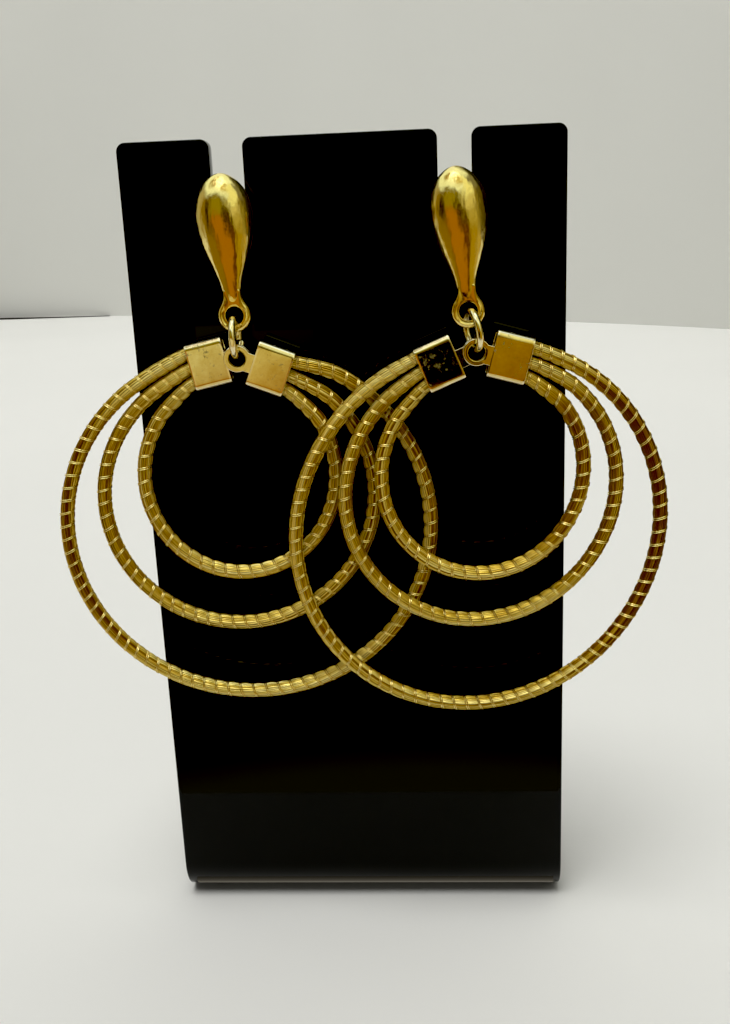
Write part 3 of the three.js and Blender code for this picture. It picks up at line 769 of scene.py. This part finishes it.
def sleeve_shell(place):
    """A row's point is the outline moved inwards by the row's depth, less the faces' bulge, crown
    times (1 - (x / half length)^2) (1 - (z / half height)^2), plus the slit exp(-(z / 0.12)^2).
    Worn is 1 on the two folds and on the mouths' edges. Touched is a round spot on the front,
    exp(-(distance / spot)^2) times the place's strength."""
    half, edge = CLAMP["length"] / 2, SLEEVE_EDGE
    on_fold, on_flat = 9, 10  # columns on each of the four folds, and on each flat between them
    x, depth = sleeve_rows()
    arcs, spokes = rounded_loop(CLAMP["thickness"], CLAMP["height"], CLAMP["fold"], steps=on_fold)
    arcs, spokes = arcs.reshape(4, on_fold, 2), spokes.reshape(4, on_fold, 2)
    share = np.linspace(0, 1, on_flat + 2)[None, 1:-1, None]
    flats = arcs[:, -1:] * (1 - share) + np.roll(arcs[:, :1], -1, axis=0) * share
    loop = np.concatenate([arcs, flats], 1).reshape(-1, 2)
    out = np.concatenate([spokes, np.repeat(spokes[:, -1:], on_flat, axis=1)], 1).reshape(-1, 2)
    crown = (CROWN * (1 - (x / half) ** 2)[:, None] * smoothstep(np.abs(out[:, 0]), 0.9, 1)
             * (1 - (loop[:, 1] / (CLAMP["height"] / 2)) ** 2))
    inward = depth[:, None] - np.where(depth[:, None] < edge, crown, 0)
    slit = SLIT * np.exp(-(loop[:, 1] / 0.12) ** 2) * (out[:, 0] > 0.9)
    inward = inward + np.where(depth[:, None] < edge / 2, slit, 0)
    flat = loop[None] - out[None] * inward[..., None]
    points, faces = shell(np.stack([x[:, None] + 0 * flat[..., 0], flat[..., 0], flat[..., 1]], -1),
                          wrap_rows=True)
    fold = smoothstep(np.abs(points[:, 2]), CLAMP["height"] / 2 - 0.7, CLAMP["height"] / 2 - 0.3)
    mouth = smoothstep(np.abs(points[:, 0]), half - 0.22, half - 0.08)
    spot_x, spot_z, strength = place["touched"]
    away = np.hypot(points[:, 0] - spot_x, points[:, 2] - spot_z)
    touched = strength * np.exp(-(away / SPOT) ** 2) * (points[:, 1] < 0)
    return points, faces, np.maximum(fold, mouth), touched


print("a sleeve has", len(sleeve_shell(EARRINGS[0]["clamps"][0])[1]), "faces")

# %% [markdown]
# The tongue ends in a flat loop for the jump ring. The two are made as the stud's eye is, as one
# band between a hole and an outline, because both have the rolled edges of stamped metal.
# %% Tongue and loop
LOOP_BEVEL = 0.2
LOOP_COLUMNS = 128
LOOP_PROFILE = np.array([  # share of the way to the bevel, share of the bevel, y behind the front
    (0, 0, 0.24), (0.05, 0, 0.12), (0.15, 0, 0.05), (0.25, 0, 0.03), (0.4, 0, 0.03), (0.9, 0, 0.02),
    (1, 0, 0), (1, 0.4, 0.02), (1, 0.8, 0.07), (1, 1, 0.18), (1, 1, 0.64), (1, 0.8, 0.75),
    (1, 0, 0.8), (0.2, 0, 0.8), (0.06, 0, 0.75), (0, 0, 0.6)])


def clamp_shells(place):
    """A sleeve and its tongue with the loop. The loop's centre is worked out in the sleeve's own
    axes. The outline round it is the disc or, towards the sleeve, the tongue's straight sides as a
    distance from that centre, whichever reaches out further."""
    slope = math.radians(place["slope"])
    to_x, to_z = -place["x"], -CLAMP["loop_drop"] - place["z"]
    loop_x = to_x * math.cos(slope) + to_z * math.sin(slope)
    loop_z = to_z * math.cos(slope) - to_x * math.sin(slope)
    reach = abs(loop_x) - CLAMP["length"] / 2 + 0.6  # the tongue ends 0.6 mm inside the sleeve
    towards = math.pi if loop_x > 0 else 0.0

    def outer(angle):
        c, s = np.cos(angle - towards), np.abs(np.sin(angle - towards))
        tongue = np.minimum(reach / np.maximum(c, 1e-6), CLAMP["tongue"] / np.maximum(s, 1e-6))
        return np.where(c > 0.3, np.maximum(CLAMP["loop"], tongue), CLAMP["loop"])

    grid = band_grid(CLAMP["hole"], outer, LOOP_PROFILE, LOOP_BEVEL, columns=LOOP_COLUMNS)
    points, faces = shell(grid + (loop_x, -CLAMP["thickness"] / 2, loop_z), wrap_rows=True)
    worn = np.repeat(LOOP_PROFILE[:, 1] > 0, LOOP_COLUMNS).astype(float)
    return [sleeve_shell(place), (points, faces, worn, 0 * worn)]


print("a clamp has", sum(len(made[1]) for made in clamp_shells(EARRINGS[0]["clamps"][0])), "faces")

# %% The four clamps in place
def clamp_depth(place):
    """The rear clamp stands behind the drop's plane and the front clamp before it."""
    return CLAMP["set_back"] * (1 if place["name"] == "rear" else -1)


def in_drop(points, earring):
    """From a drop's own axes to the stand's: turned a little about the upright through its pivot."""
    x, y, z = earring["pivot"]
    return turned(points, "z", DROP_TURN) + (x, PANEL_Y + y, z)


for earring in EARRINGS:
    side = earring["side"]
    for place in earring["clamps"]:
        at, slope = (place["x"], clamp_depth(place), place["z"]), math.radians(place["slope"])
        points, faces, worn, touched = zip(*clamp_shells(place))
        shells = [(in_drop(turned(p, "y", -slope) + at, earring), f) for p, f in zip(points, faces)]
        fields = dict(worn=np.concatenate(worn), touched=np.concatenate(touched))
        make_piece(f"{side}_{place['name']}_folded_clamp", shells, satin_gold, f"{side}_drop",
                   [f"{side}_{place['name']}_clamp"], fields=fields)

# %% [markdown]
# ## The hoops
#
# A hoop's line is straight inside its two clamps and round between them. Where it leaves a clamp
# it stands a little before or behind the drop's plane and eases back into it. The line is the
# solid's, so the dressed bundle keeps the same clearances. The bundle is a hair thinner than the
# solid, so that its thread, which stands proud, clears the other earring when both swing.
# %% The line of a hoop
def hoop_line(earring, hoop, layer):
    """Points at radius + wide cos 2t + skew sin 2t about the hoop's centre, joined to the straight
    ends in the clamps by one smooth curve, in the drop's axes. Over 22 mm from a clamp its depth
    eases back into the drop's plane. The layer is 1, 0 or -1 for the outer, middle or inner place
    in a clamp."""
    ends = []
    for holder in earring["clamps"]:
        slope, outward = math.radians(holder["slope"]), math.copysign(1, holder["x"])
        along = outward * np.array([math.cos(slope), 0, math.sin(slope)])
        across = np.array([-math.sin(slope), 0, math.cos(slope)])
        depth = clamp_depth(holder)
        mouth = np.array([holder["x"], depth, holder["z"]]) + along * CLAMP["length"] / 2
        mouth = mouth + across * layer * ROD["pitch"]
        ends.append((mouth, along, depth))
    angles = [math.atan2(mouth[2] - hoop["z"], mouth[0] - hoop["x"]) for mouth, _, _ in ends]
    margin = 8 / hoop["radius"]  # leaves 8 mm for the curve into a clamp
    first, last = angles[0] + margin, angles[1] - margin + 2 * math.pi
    t = np.linspace(first, last, 27)
    r = hoop["radius"] + hoop["wide"] * np.cos(2 * t) + hoop["skew"] * np.sin(2 * t)
    z = hoop["z"] + r * np.sin(t)
    y = hoop["lean"] * np.minimum(z, 0) / (2 * hoop["radius"])
    for (_, _, depth), start in zip(ends, (first, last)):
        y = y + depth * (1 - smoothstep(np.abs(t - start) * hoop["radius"], 0, 22))
    around = np.stack([hoop["x"] + r * np.cos(t), y, z], 1)
    (mouth, along, _), (far_mouth, far_along, _) = ends
    inside = ROD["insertion"]
    return smooth_line(np.vstack([
        mouth - along * inside, mouth - along * inside / 2, mouth, around, far_mouth,
        far_mouth - far_along * inside / 2, far_mouth - far_along * inside]))


def rod_frame(earring, hoop, layer, spacing):
    """The line at even steps with its distances, and at each step the directions outwards and to
    the back, the distance outside the nearer clamp and the bundle's radius, which is squeezed in
    the clamps and full a flare's length outside them."""
    line, along = evenly(hoop_line(earring, hoop, layer), spacing)
    ahead = unit(np.gradient(line, axis=0))
    out = unit(np.cross([0.0, 1.0, 0.0], ahead))
    outside = np.minimum(along, along[-1] - along) - ROD["insertion"]
    radius = ROD["clamped"] + (ROD["radius"] - ROD["clamped"]) * smoothstep(outside, 0, ROD["flare"])
    return line, along, out, np.cross(ahead, out), outside, radius


_, along = evenly(hoop_line(EARRINGS[0], EARRINGS[0]["hoops"][0], 1), 1)
hoop_length = along[-1]
print("the left outer hoop is", round(hoop_length), "mm long")

# %% [markdown]
# ### Stalks and winding
#
# The winding is a right-handed helix with a turn about every 2.5 mm, closer beside the clamps.
# Its turning angle at each distance is worked out first, because the stalks follow it too: they
# are pinched under the thread and puff out between two turns, most of all on the inside of the
# curve, where bending pushes them together. Twenty stalks lie round a bundle, each a low rounded
# rib with a shade of its own, and the whole bundle twists slowly.
# %% The winding's turns
TURN = 2.5  # mm between two turns of the thread


def winding_angle(along, outside, dice):
    """The helix's angle: 2 pi times the distance over the spacing of the turns, summed along the
    rod. The spacing wavers by a twentieth and shrinks by a third beside the clamps."""
    length = along[-1]
    waver = sum(dice.uniform(-0.03, 0.03) * np.sin(2 * math.pi * (k * along / length + dice.random()))
                for k in (3, 7, 13, 23))
    spacing = TURN * (1 + waver - 0.35 * np.exp(-(np.maximum(outside, 0) / 3) ** 2))
    return dice.uniform(0, 2 * math.pi) + np.concatenate(
        [[0], np.cumsum(2 * math.pi / spacing[1:] * np.diff(along))])


print("the left outer hoop has about", round(hoop_length / TURN), "turns of thread")

# %% [markdown]
# The stalks of a tight bundle show only their outer sides. So a bundle is one surface with four
# columns of points to a stalk, and not twenty tubes, which would hide most of their points.
# %% A bundle of stalks
STALKS = 20
PER_STALK = np.array([-1, -0.55, 0.0, 0.55])  # places of a stalk's columns across it
TRIM = 0.03                                   # the crests lie this far inside the bundle's radius
RIB, PINCH, PINCH_WIDTH, PUFF = 0.16, 0.08, 0.42, 0.1  # mm


def bundle_shell(frame_of_rod, winding, painted_side_shade, dice):
    """The radius at angle a and distance s is the bundle's radius, less the trim, plus each
    stalk's rib (sqrt(1 - 0.94 u^2) - 1) with u from -1 to 1 across it, less the pinch
    exp(-(d / pinch width)^2) where the thread is d away, plus the puff sin^2(pi d / turn) inside
    the bend. Each stalk has a width, lift, shade and gap of its own."""
    line, along, out, back, outside, radius = frame_of_rod
    widths = dice.uniform(0.75, 1.3, STALKS)
    edges = np.concatenate([[0], np.cumsum(widths)]) / widths.sum() * 2 * math.pi
    middle, half = (edges[1:] + edges[:-1]) / 2, np.diff(edges) / 2
    across = np.tile(PER_STALK, STALKS)
    # gap: how far across a stalk its painted seam shade reaches
    gap = np.repeat(dice.uniform(0.75, 1.5, STALKS), len(PER_STALK))
    column = np.repeat(middle, len(PER_STALK)) + across * np.repeat(half, len(PER_STALK))
    lift = np.repeat(dice.uniform(-0.05, 0.035, STALKS), len(PER_STALK))
    tint = np.repeat(0.25 + 0.65 * dice.random(STALKS), len(PER_STALK))
    twist = dice.uniform(-1, 1) * along / 45 + 0.25 * np.sin(along / dice.uniform(9, 14))
    angle = column[None, :] + twist[:, None]
    turn = (winding[:, None] - angle + math.pi) % (2 * math.pi) - math.pi
    away = turn * TURN / (2 * math.pi)
    rib = RIB * (np.sqrt(1 - 0.94 * across**2) - 1) + lift
    wander = 0.02 * np.sin(along[:, None] * 0.9 + 7 * tint[None, :] * math.pi)
    squeezed = 1 - smoothstep(outside, -1, 2.5)[:, None]
    inner = 0.5 - 0.5 * np.cos(angle)
    puff = PUFF * inner * np.sin(turn / 2) ** 2
    r = (radius[:, None] - TRIM + rib[None, :] * (1 - 0.4 * squeezed) + wander
         - PINCH * np.exp(-(away / PINCH_WIDTH) ** 2) + puff)
    flatten = 1 - 0.1 * squeezed * np.sin(angle) ** 2
    r = np.where(squeezed > 0, np.minimum(r, radius[:, None] - TRIM / 2), r) * flatten
    grid = line[:, None] + r[..., None] * (np.cos(angle)[..., None] * out[:, None]
                                           + np.sin(angle)[..., None] * back[:, None])
    # painted shade: the seams are painted darker where the stalks crowd into a clamp
    clamp_seam_shade = (1 + 0.5 * np.exp(-np.maximum(outside, 0) / 6))[:, None]  # darker seams at the clamps
    fields = {}
    for name, values in (("tint", tint), ("painted_side_shade", painted_side_shade[:, None]), ("across", clamp_seam_shade * across * gap),
                         ("along", along[:, None])):
        values = np.broadcast_to(values, r.shape)
        fields[name] = np.concatenate([values.ravel(), values[[0, -1]].mean(1)])  # the two caps last
    return grid, fields


print("a bundle has", STALKS, "stalks of", len(PER_STALK), "columns")

# %% [markdown]
# The thread is modelled too, because it stands proud of the stalks and glints turn by turn. It is
# two thin tubes on the same helix that pinches the stalks, so it lies in its own furrow.
# %% The thread
STRAND = 0.105         # radius of one of the two yarns
STRAND_BESIDE = 0.15   # how far a yarn's middle lies beside the winding's line
HIDDEN_END = 1.5       # how far the thread runs on inside the clamps, pressed down by 0.2
STEPS, SIDES = 22, 6   # points in a turn, and round a strand


def thread_shells(frame_of_rod, winding):
    """Two strands side by side on the helix, each wandering beside its line by up to 0.04 mm. They
    lie on the pinched stalks at even steps of the helix's angle."""
    line, along, out, back, outside, radius = frame_of_rod
    ends = np.array([ROD["insertion"] - HIDDEN_END, along[-1] - ROD["insertion"] + HIDDEN_END])
    first, last = np.interp(ends, along, winding)
    angle = np.arange(first, last, 2 * math.pi / STEPS)
    at = np.interp(angle, winding, along)

    def carried(values):
        return np.stack([np.interp(at, along, values[:, k]) for k in range(3)], 1)

    ahead = unit(np.gradient(line, axis=0))
    centre, out, back, ahead = (carried(v) for v in (line, out, back, ahead))
    spoke = np.cos(angle)[:, None] * unit(out) + np.sin(angle)[:, None] * unit(back)
    lift = np.interp(at, along, radius) - TRIM - PINCH + STRAND
    lift = np.where(np.interp(at, along, outside) < 0.4, lift - 0.2, lift)
    shells = []
    for sign in (-1, 1):
        wander = 0.04 * np.sin(0.37 * angle + sign) * np.sin(0.11 * angle)
        beside = sign * (STRAND_BESIDE + wander)
        path = centre + lift[:, None] * spoke + beside[:, None] * unit(ahead)
        shells.append(shell(tube(path, STRAND, SIDES, unit(ahead))))
    return shells


print("a turn of thread has", STEPS, "points, each a ring of", SIDES)

# %% The six hoops
ROD_STEP = 0.3    # mm between two rings of points
# painted shade: the stalks are painted darker at the hoops' sides than at the bottom
SIDE_PAINTED_SHADE = 0.22  # how much darker the stalks are at the hoops' sides than at the bottom

for number, earring in enumerate(EARRINGS):
    side = earring["side"]
    for k, hoop in enumerate(earring["hoops"]):
        dice = np.random.default_rng(10 * number + k + 3)
        rod = rod_frame(earring, hoop, 1 - k, ROD_STEP)
        line, along, _, _, outside, _ = rod
        winding = winding_angle(along, outside, dice)
        outward = (line[:, 0] - hoop["x"]) / hoop["radius"] * (-1 if side == "left" else 1)
        # painted shade, darker and redder towards the sides of each hoop, most on its outer side
        painted_side_shade = (hoop["painted_side_shade"] * smoothstep(outward, 0.35, 0.95)
                + SIDE_PAINTED_SHADE * smoothstep(abs(outward), 0.4, 0.9))
        grid, fields = bundle_shell(rod, winding, painted_side_shade, dice)
        points, faces = shell(grid)
        make_piece(f"{side}_{hoop['name']}_bundle", [(in_drop(points, earring), faces)], golden_grass,
                   f"{side}_drop", [f"{side}_{hoop['name']}_hoop"], crisp=70,
                   fields=fields)
        threads = [(in_drop(p, earring), f) for p, f in thread_shells(rod, winding)]
        make_piece(f"{side}_{hoop['name']}_thread", threads, gold_thread, f"{side}_drop")

# %% [markdown]
# ## Table, wall and light
#
# The stand is on a pale table before a slightly darker wall. Both are matt, so their tone is
# only a matter of their colour and of how much of the soft light reaches them.
# %% Paint and sheets
def paint(name, colour):
    """Matt paint with a faint cloudiness and a fine tooth, drawn at 1.2 mm so that it shows."""
    finish, tree, place = new_finish(name)
    cloud, tooth = (add_node(tree, "ShaderNodeTexNoise", {
        "Vector": place, "Scale": 1 / (size * MM), "Detail": 2.0}) for size in (300, 1.2))
    share = add_node(tree, "ShaderNodeMapRange", {"Value": cloud, **between(0.3, 0.7)})
    dark = tuple(0.97 * c for c in linear(colour)[:3]) + (1,)
    tone = add_node(tree, "ShaderNodeMix", {SHARE: share, FIRST: linear(colour), SECOND: dark},
                    data_type="RGBA")
    relief = add_node(tree, "ShaderNodeBump", {"Height": tooth, "Distance": 0.02 * MM})
    shader = add_node(tree, "ShaderNodeBsdfPrincipled", {
        "Base Color": tone, "Roughness": 0.85, "Specular IOR Level": 0.1, "Normal": relief})
    add_node(tree, "ShaderNodeOutputMaterial", {"Surface": shader})
    return finish


def stage_sheet(name, grid, finish):
    """A smooth sheet through grid[row, column] points in metres. It isn't part of the object."""
    mesh = bpy.data.meshes.new(name)
    mesh.from_pydata(grid.reshape(-1, 3).tolist(), [], grid_quads(*grid.shape[:2]).tolist())
    mesh.shade_smooth()
    mesh.materials.append(finish)
    sheet = bpy.data.objects.new(name, mesh)
    bpy.context.scene.collection.objects.link(sheet)
    return sheet


def at_heights(lines, heights):
    """A grid whose rows are lines of x and y, each at its height."""
    return np.stack([np.column_stack([line, np.full(len(line), height)])
                     for line, height in zip(lines, heights)])


table_paint, wall_paint = paint("table_paint", "#EDEDE8"), paint("wall_paint", "#DADAD3")
print("paints:", table_paint.name, wall_paint.name)

# %% Table and wall
NEAR_EDGE = PANEL_Y * MM - 0.04  # the table nearer than this isn't mirrored in the panel
BACK_EDGE = np.array([  # x and y in metres, where the table meets the curved wall
    (-3.0, 1.75), (-1.2, 1.43), (-0.622, 1.342), (-0.449, 1.317), (-0.1, 1.19), (0.1, 1.085),
    (0.246, 0.984), (0.326, 0.917), (0.55, 0.7), (0.9, 0.3), (1.6, -0.5)])
# painted shadow: a dark matt sheet lies on the table before the wall at the left, as the shade of a gap
PAINTED_GAP_SHADOW_EDGES = np.array([  # a dark gap before the wall at the left, which narrows to the right
    [(-1.2, 1.37), (-0.622, 1.318), (-0.449, 1.3115)],
    [(-1.2, 1.43), (-0.622, 1.342), (-0.449, 1.317)]])

back = smooth_line(BACK_EDGE, samples=8)
far = back[back[:, 1] > NEAR_EDGE]
near = np.stack([far[:, 0], np.full(len(far), NEAR_EDGE)], 1)
stage_sheet("table", at_heights((near, far), (0, 0)), table_paint)
near_rows = np.array([[(-3, -2.5), (3, -2.5)], [(-3, NEAR_EDGE), (3, NEAR_EDGE)]])
stage_sheet("near_table", at_heights(near_rows, (0, 0)), table_paint).visible_glossy = False
stage_sheet("wall", at_heights((back, back), (-0.02, 2.5)), wall_paint)
# the gap sheet is a painted shadow lying on the table
stage_sheet("gap", at_heights(PAINTED_GAP_SHADOW_EDGES, (0.0004, 0.0004)), paint("painted_gap_shadow", "#241F16"))
print("table and wall in place")

# %% [markdown]
# ### Soft light
#
# The light on the table comes from a pale world, which lights the shadows from all sides, and
# from four large lamps: one overhead, and weak ones for the front, the wall and the table's far
# side. Large lamps give the soft edges that shadows have in a room.
# %% World and lamps
world = bpy.data.worlds.new("soft_room")
world.use_nodes = True
world.node_tree.nodes["Background"].inputs["Color"].default_value = linear("#F6F6F2")
world.node_tree.nodes["Background"].inputs["Strength"].default_value = 0.1
bpy.context.scene.world = world


def lamp(name, place, aim, size, watts):
    """A square white soft light at a place in metres, turned to its aim."""
    light = bpy.data.lights.new(name, "AREA")
    light.shape, light.size, light.energy = "SQUARE", size, watts
    stand = bpy.data.objects.new(name, light)
    place, aim = np.array(place, float), np.array(aim, float)
    back = unit(place - aim)
    right = unit(np.cross([0.0, 0.0, 1.0], back) + (1e-9, 0, 0))
    turn = np.eye(4)
    turn[:3, :3], turn[:3, 3] = np.stack([right, np.cross(back, right), back], 1), place
    stand.matrix_world = Matrix(turn.tolist())
    bpy.context.scene.collection.objects.link(stand)
    return stand


lamp("overhead_softbox", (-0.35, -0.85, 2.8), (0, 0, 0), 1.4, 56.5)
lamp("front_softbox", (0.3, -1.6, 0.4), (0, 0, 0), 0.9, 2).visible_glossy = False
lamp("wall_softbox", (-0.2, 0.15, 2.2), (-0.1, 1.15, 0.62), 0.9, 2.2).data.spread = math.radians(80)
lamp("side_softbox", (-1.7, 1.2, 1.5), (-0.3, 1.15, 0), 1.0, 1.0).data.spread = math.radians(70)

# %% [markdown]
# ### What the gold mirrors
#
# Metal shows what is round it more than its own colour, so this matters as much as the finish.
# The gold mirrors a dome of softly coloured patches, like a small light tent, which only
# reflections see: pale overhead and at the sides, olive and amber before the stand, and dark
# between them. It is a mesh with a colour at each point, so its tones are the numbers below.
# %% The tent's panels
TENT = [  # azimuth from and to, elevation from and to, softness in degrees, colour, strength
    (-200, 200, 33, 200, 18, "#F2FFF5", 1.13),
    (60, 200, -200, 62, 18, "#7F7D6C", 1),
    (98, 200, -200, 46, 18, "#151412", 1),
    (-200, -98, -40, 30, 16, "#A6A498", 1),
    (-200, -138, 8, 200, 16, "#EFF9FF", 1.16),
    (-102, -72, -40, 32, 18, "#B4AC8A", 1),
    (-130, -82, -40, -12, 14, "#C2BEAC", 1),
    (-84, -40, -40, 29, 18, "#887230", 1),
    (-62, -42, -8, 22, 16, "#2E2004", 1),
    (-80, -40, -40, -14, 12, "#886F23", 1),
    (-106, -30, 54, 74, 16, "#9C8436", 1),
    (-16, 30, 48, 74, 14, "#C8B870", 1),
    (-40, -2, 0, 29, 14, "#918434", 1),
    (-36, 16, -40, 3, 14, "#A57320", 1),
    (0, 22, -10, 22, 14, "#4A380A", 1),
    (2, 20, 18, 33, 12, "#A09B65", 1),
    (22, 62, 20, 62, 14, "#FDFFCB", 1),
    (22, 62, 3, 22, 14, "#D7CE93", 1),
    (24, 62, -12, 5, 14, "#B7A965", 1),
    (24, 62, -40, -10, 12, "#A68D3F", 1),
    (14, 32, -40, -4, 12, "#5E3C0C", 1),
    (62, 80, -10, 34, 14, "#8B7E46", 1),
    (62, 84, -40, -10, 12, "#B9A562", 1),
    (80, 102, -12, 32, 14, "#5C5238", 1),
    (84, 110, -40, -12, 12, "#7E6D42", 1),
    (-200, 200, -200, -37.8, 3.4, "#D2CEC0", 1),
]
BETWEEN_PANELS = "#1A1108"
print("the tent has", len(TENT), "panels")

# %% The tent's tone in a direction
def window(x, low, high, soft):
    """1 between low and high, eased to 0 over the softness at either end."""
    risen = smoothstep(x, low - soft / 2, low + soft / 2)
    return risen * (1 - smoothstep(x, high - soft / 2, high + soft / 2))


def tent_tone(azimuth, elevation):
    """The tent's light in a direction: each panel covers what lies behind it by its window. The
    panels' edges waver by four degrees, as cloth hangs, but level edges are straight low down."""
    tone = np.broadcast_to(linear(BETWEEN_PANELS)[:3], azimuth.shape + (3,))
    waver = 4 * np.sin(np.radians(azimuth * 4.5 + 30))
    azimuth = azimuth + 4 * np.sin(np.radians(elevation * 5 + 40))
    elevation = elevation + waver * smoothstep(elevation, -28, 5)
    for low, high, bottom, top, soft, colour, strength in TENT:
        share = (window(azimuth, low, high, soft) * window(elevation, bottom, top, soft))[..., None]
        tone = tone * (1 - share) + share * strength * np.array(linear(colour)[:3])
    return tone


print("straight ahead the tent's tone is", tent_tone(np.zeros(1), np.zeros(1)).round(3)[0])

# %% Glowing sheets that only reflections see
# painted reflections: the tent, the strip and the cards glow with this, though they are no lamps
glow = bpy.data.materials.new("painted_reflection_glow")
glow.use_nodes = True
glow.cycles.emission_sampling = "NONE"
glow.node_tree.nodes.clear()
light = add_node(glow.node_tree, "ShaderNodeEmission", {
    "Color": add_node(glow.node_tree, "ShaderNodeAttribute", attribute_name="glow").outputs["Color"]})
add_node(glow.node_tree, "ShaderNodeOutputMaterial", {"Surface": light.outputs["Emission"]})


def glossy_only(name, grid, tones):
    """A sheet through grid[row, column] points in metres that glows with a colour at each point."""
    sheet = stage_sheet(name, grid, glow)
    colours = np.insert(tones.reshape(-1, 3), 3, 1, axis=1).astype(np.float32)
    sheet.data.attributes.new("glow", "FLOAT_COLOR", "POINT").data.foreach_set("color", colours.ravel())
    for ray in ("camera", "diffuse", "transmission", "shadow", "volume_scatter"):
        setattr(sheet, "visible_" + ray, False)


print("glowing cloth:", glow.name)

# %% The tent and the strip under the bend
TENT_RADIUS, TENT_MIDDLE = 0.6, (0, -0.06, 0.13)  # metres
azimuth, elevation = np.meshgrid(np.linspace(-150, 150, 121), np.linspace(-90, 90, 91))
azimuth = azimuth * (1 + 0.2 * smoothstep(elevation, 30, 50))  # open behind, but closed overhead
a, e = np.radians(azimuth), np.radians(elevation)
outwards = np.stack([np.sin(a) * np.cos(e), -np.cos(a) * np.cos(e), np.sin(e)], -1)
glossy_only("light_tent", TENT_RADIUS * outwards + TENT_MIDDLE, tent_tone(azimuth, elevation))

# A pale glowing strip on the table under the bend, which only reflections see: a painted
# reflection for the bend's underside to mirror.
x, y = np.meshgrid([-0.039, 0.039], (PANEL_Y + np.array([0.5, 3, 5.5, 8])) * MM)
fade = 1 - smoothstep(y[..., None], (PANEL_Y + 4) * MM, (PANEL_Y + 8) * MM)
painted_bounce = np.array(linear("#A8A294")[:3]) * fade
glossy_only("bounce_strip", np.stack([x, y, 0 * x + 0.0002], -1), painted_bounce)
print("the tent has", azimuth.size, "points")

# %% [markdown]
# The clamps' faces are flat mirrors that all look almost at the camera, so a small glowing card,
# which only reflections see, stands before each of them and decides its tone as a painted
# reflection, as flags and fill cards do in a studio.
# %% Small cards before the clamps
# painted reflections: the glowing colours that each clamp face mirrors, a dark card for a dark face
CARDS = {  # colours that the face mirrors: top left, top right, bottom left, bottom right
    ("left", "rear"): ("#DCD8B0", "#D8D0A0", "#D4C89C", "#A07838"),
    ("left", "front"): ("#D8CC98", "#D0C488", "#C4A868", "#9C6C2C"),
    ("right", "rear"): ("#100A04", "#0C0804", "#1C1004", "#100A04"),
    ("right", "front"): ("#A08010", "#A48418", "#987408", "#8C6404"),
}
CARD_AWAY, CARD_SIDE = 15, 12.5                 # mm before the face, and the card's side
CAMERA_AT = np.array([15.72, -254.06, 144.18])  # mm
for earring in EARRINGS:
    for place in earring["clamps"]:
        face = in_drop(np.array([[place["x"], -CLAMP["thickness"] / 2, place["z"]]]), earring)[0]
        normal = turned(np.array([0.0, -1.0, 0.0]), "z", DROP_TURN)
        seen = unit(face - CAMERA_AT)
        centre = face + unit(seen - 2 * (seen @ normal) * normal) * CARD_AWAY
        across, up = np.array([1.0, 0, 0]), np.array([0, 0, 1.0])
        steps = np.linspace(-0.5, 0.5, 5)
        grid = centre + CARD_SIDE * (steps[None, :, None] * across + steps[::-1, None, None] * up)
        corners = np.array([linear(c)[:3] for c in CARDS[earring["side"], place["name"]]])
        right, low = steps[None, :, None] + 0.5, 0.5 - steps[::-1, None, None]
        tones = ((1 - low) * ((1 - right) * corners[0] + right * corners[1])
                 + low * ((1 - right) * corners[2] + right * corners[3]))
        glossy_only(f"{earring['side']}_{place['name']}_card", grid * MM, tones)
print("cards:", len(CARDS))

# %% [markdown]
# ## Camera
#
# The camera stands a fifth of a metre before the panel, a little above the hoops, and looks down
# by 16 degrees with a slight roll. Its three axes are written out, so nothing is left to the
# order of turns. The view's black level is raised a hair, so that black acrylic is as deep as the
# eye sees it in a bright room.
# %% Camera
BLACK_LEVEL = 0.0135  # linear light that the picture shows as black
camera_data = bpy.data.cameras.new("camera")
camera_data.lens, camera_data.sensor_width = 38.35, 36
camera_data.clip_start, camera_data.clip_end = 0.01, 20
camera = bpy.data.objects.new("camera", camera_data)
right = np.array([0.9975572, 0.0567726, -0.0407003])
down = np.array([-0.0235232, -0.2756011, -0.9609842])
forward = np.array([-0.0657746, 0.9595941, -0.2735924])
pose = np.eye(4)
pose[:3, :3], pose[:3, 3] = np.stack([right, -down, -forward], 1), CAMERA_AT * MM
camera.matrix_world = Matrix(pose.tolist())
bpy.context.scene.collection.objects.link(camera)
bpy.context.scene.camera = camera
view = bpy.context.scene.view_settings
view.view_transform = "Standard"
view.use_curve_mapping = True
view.curve_mapping.black_level = (BLACK_LEVEL,) * 3
view.curve_mapping.update()
print("camera at", [round(v, 3) for v in camera.matrix_world.translation])
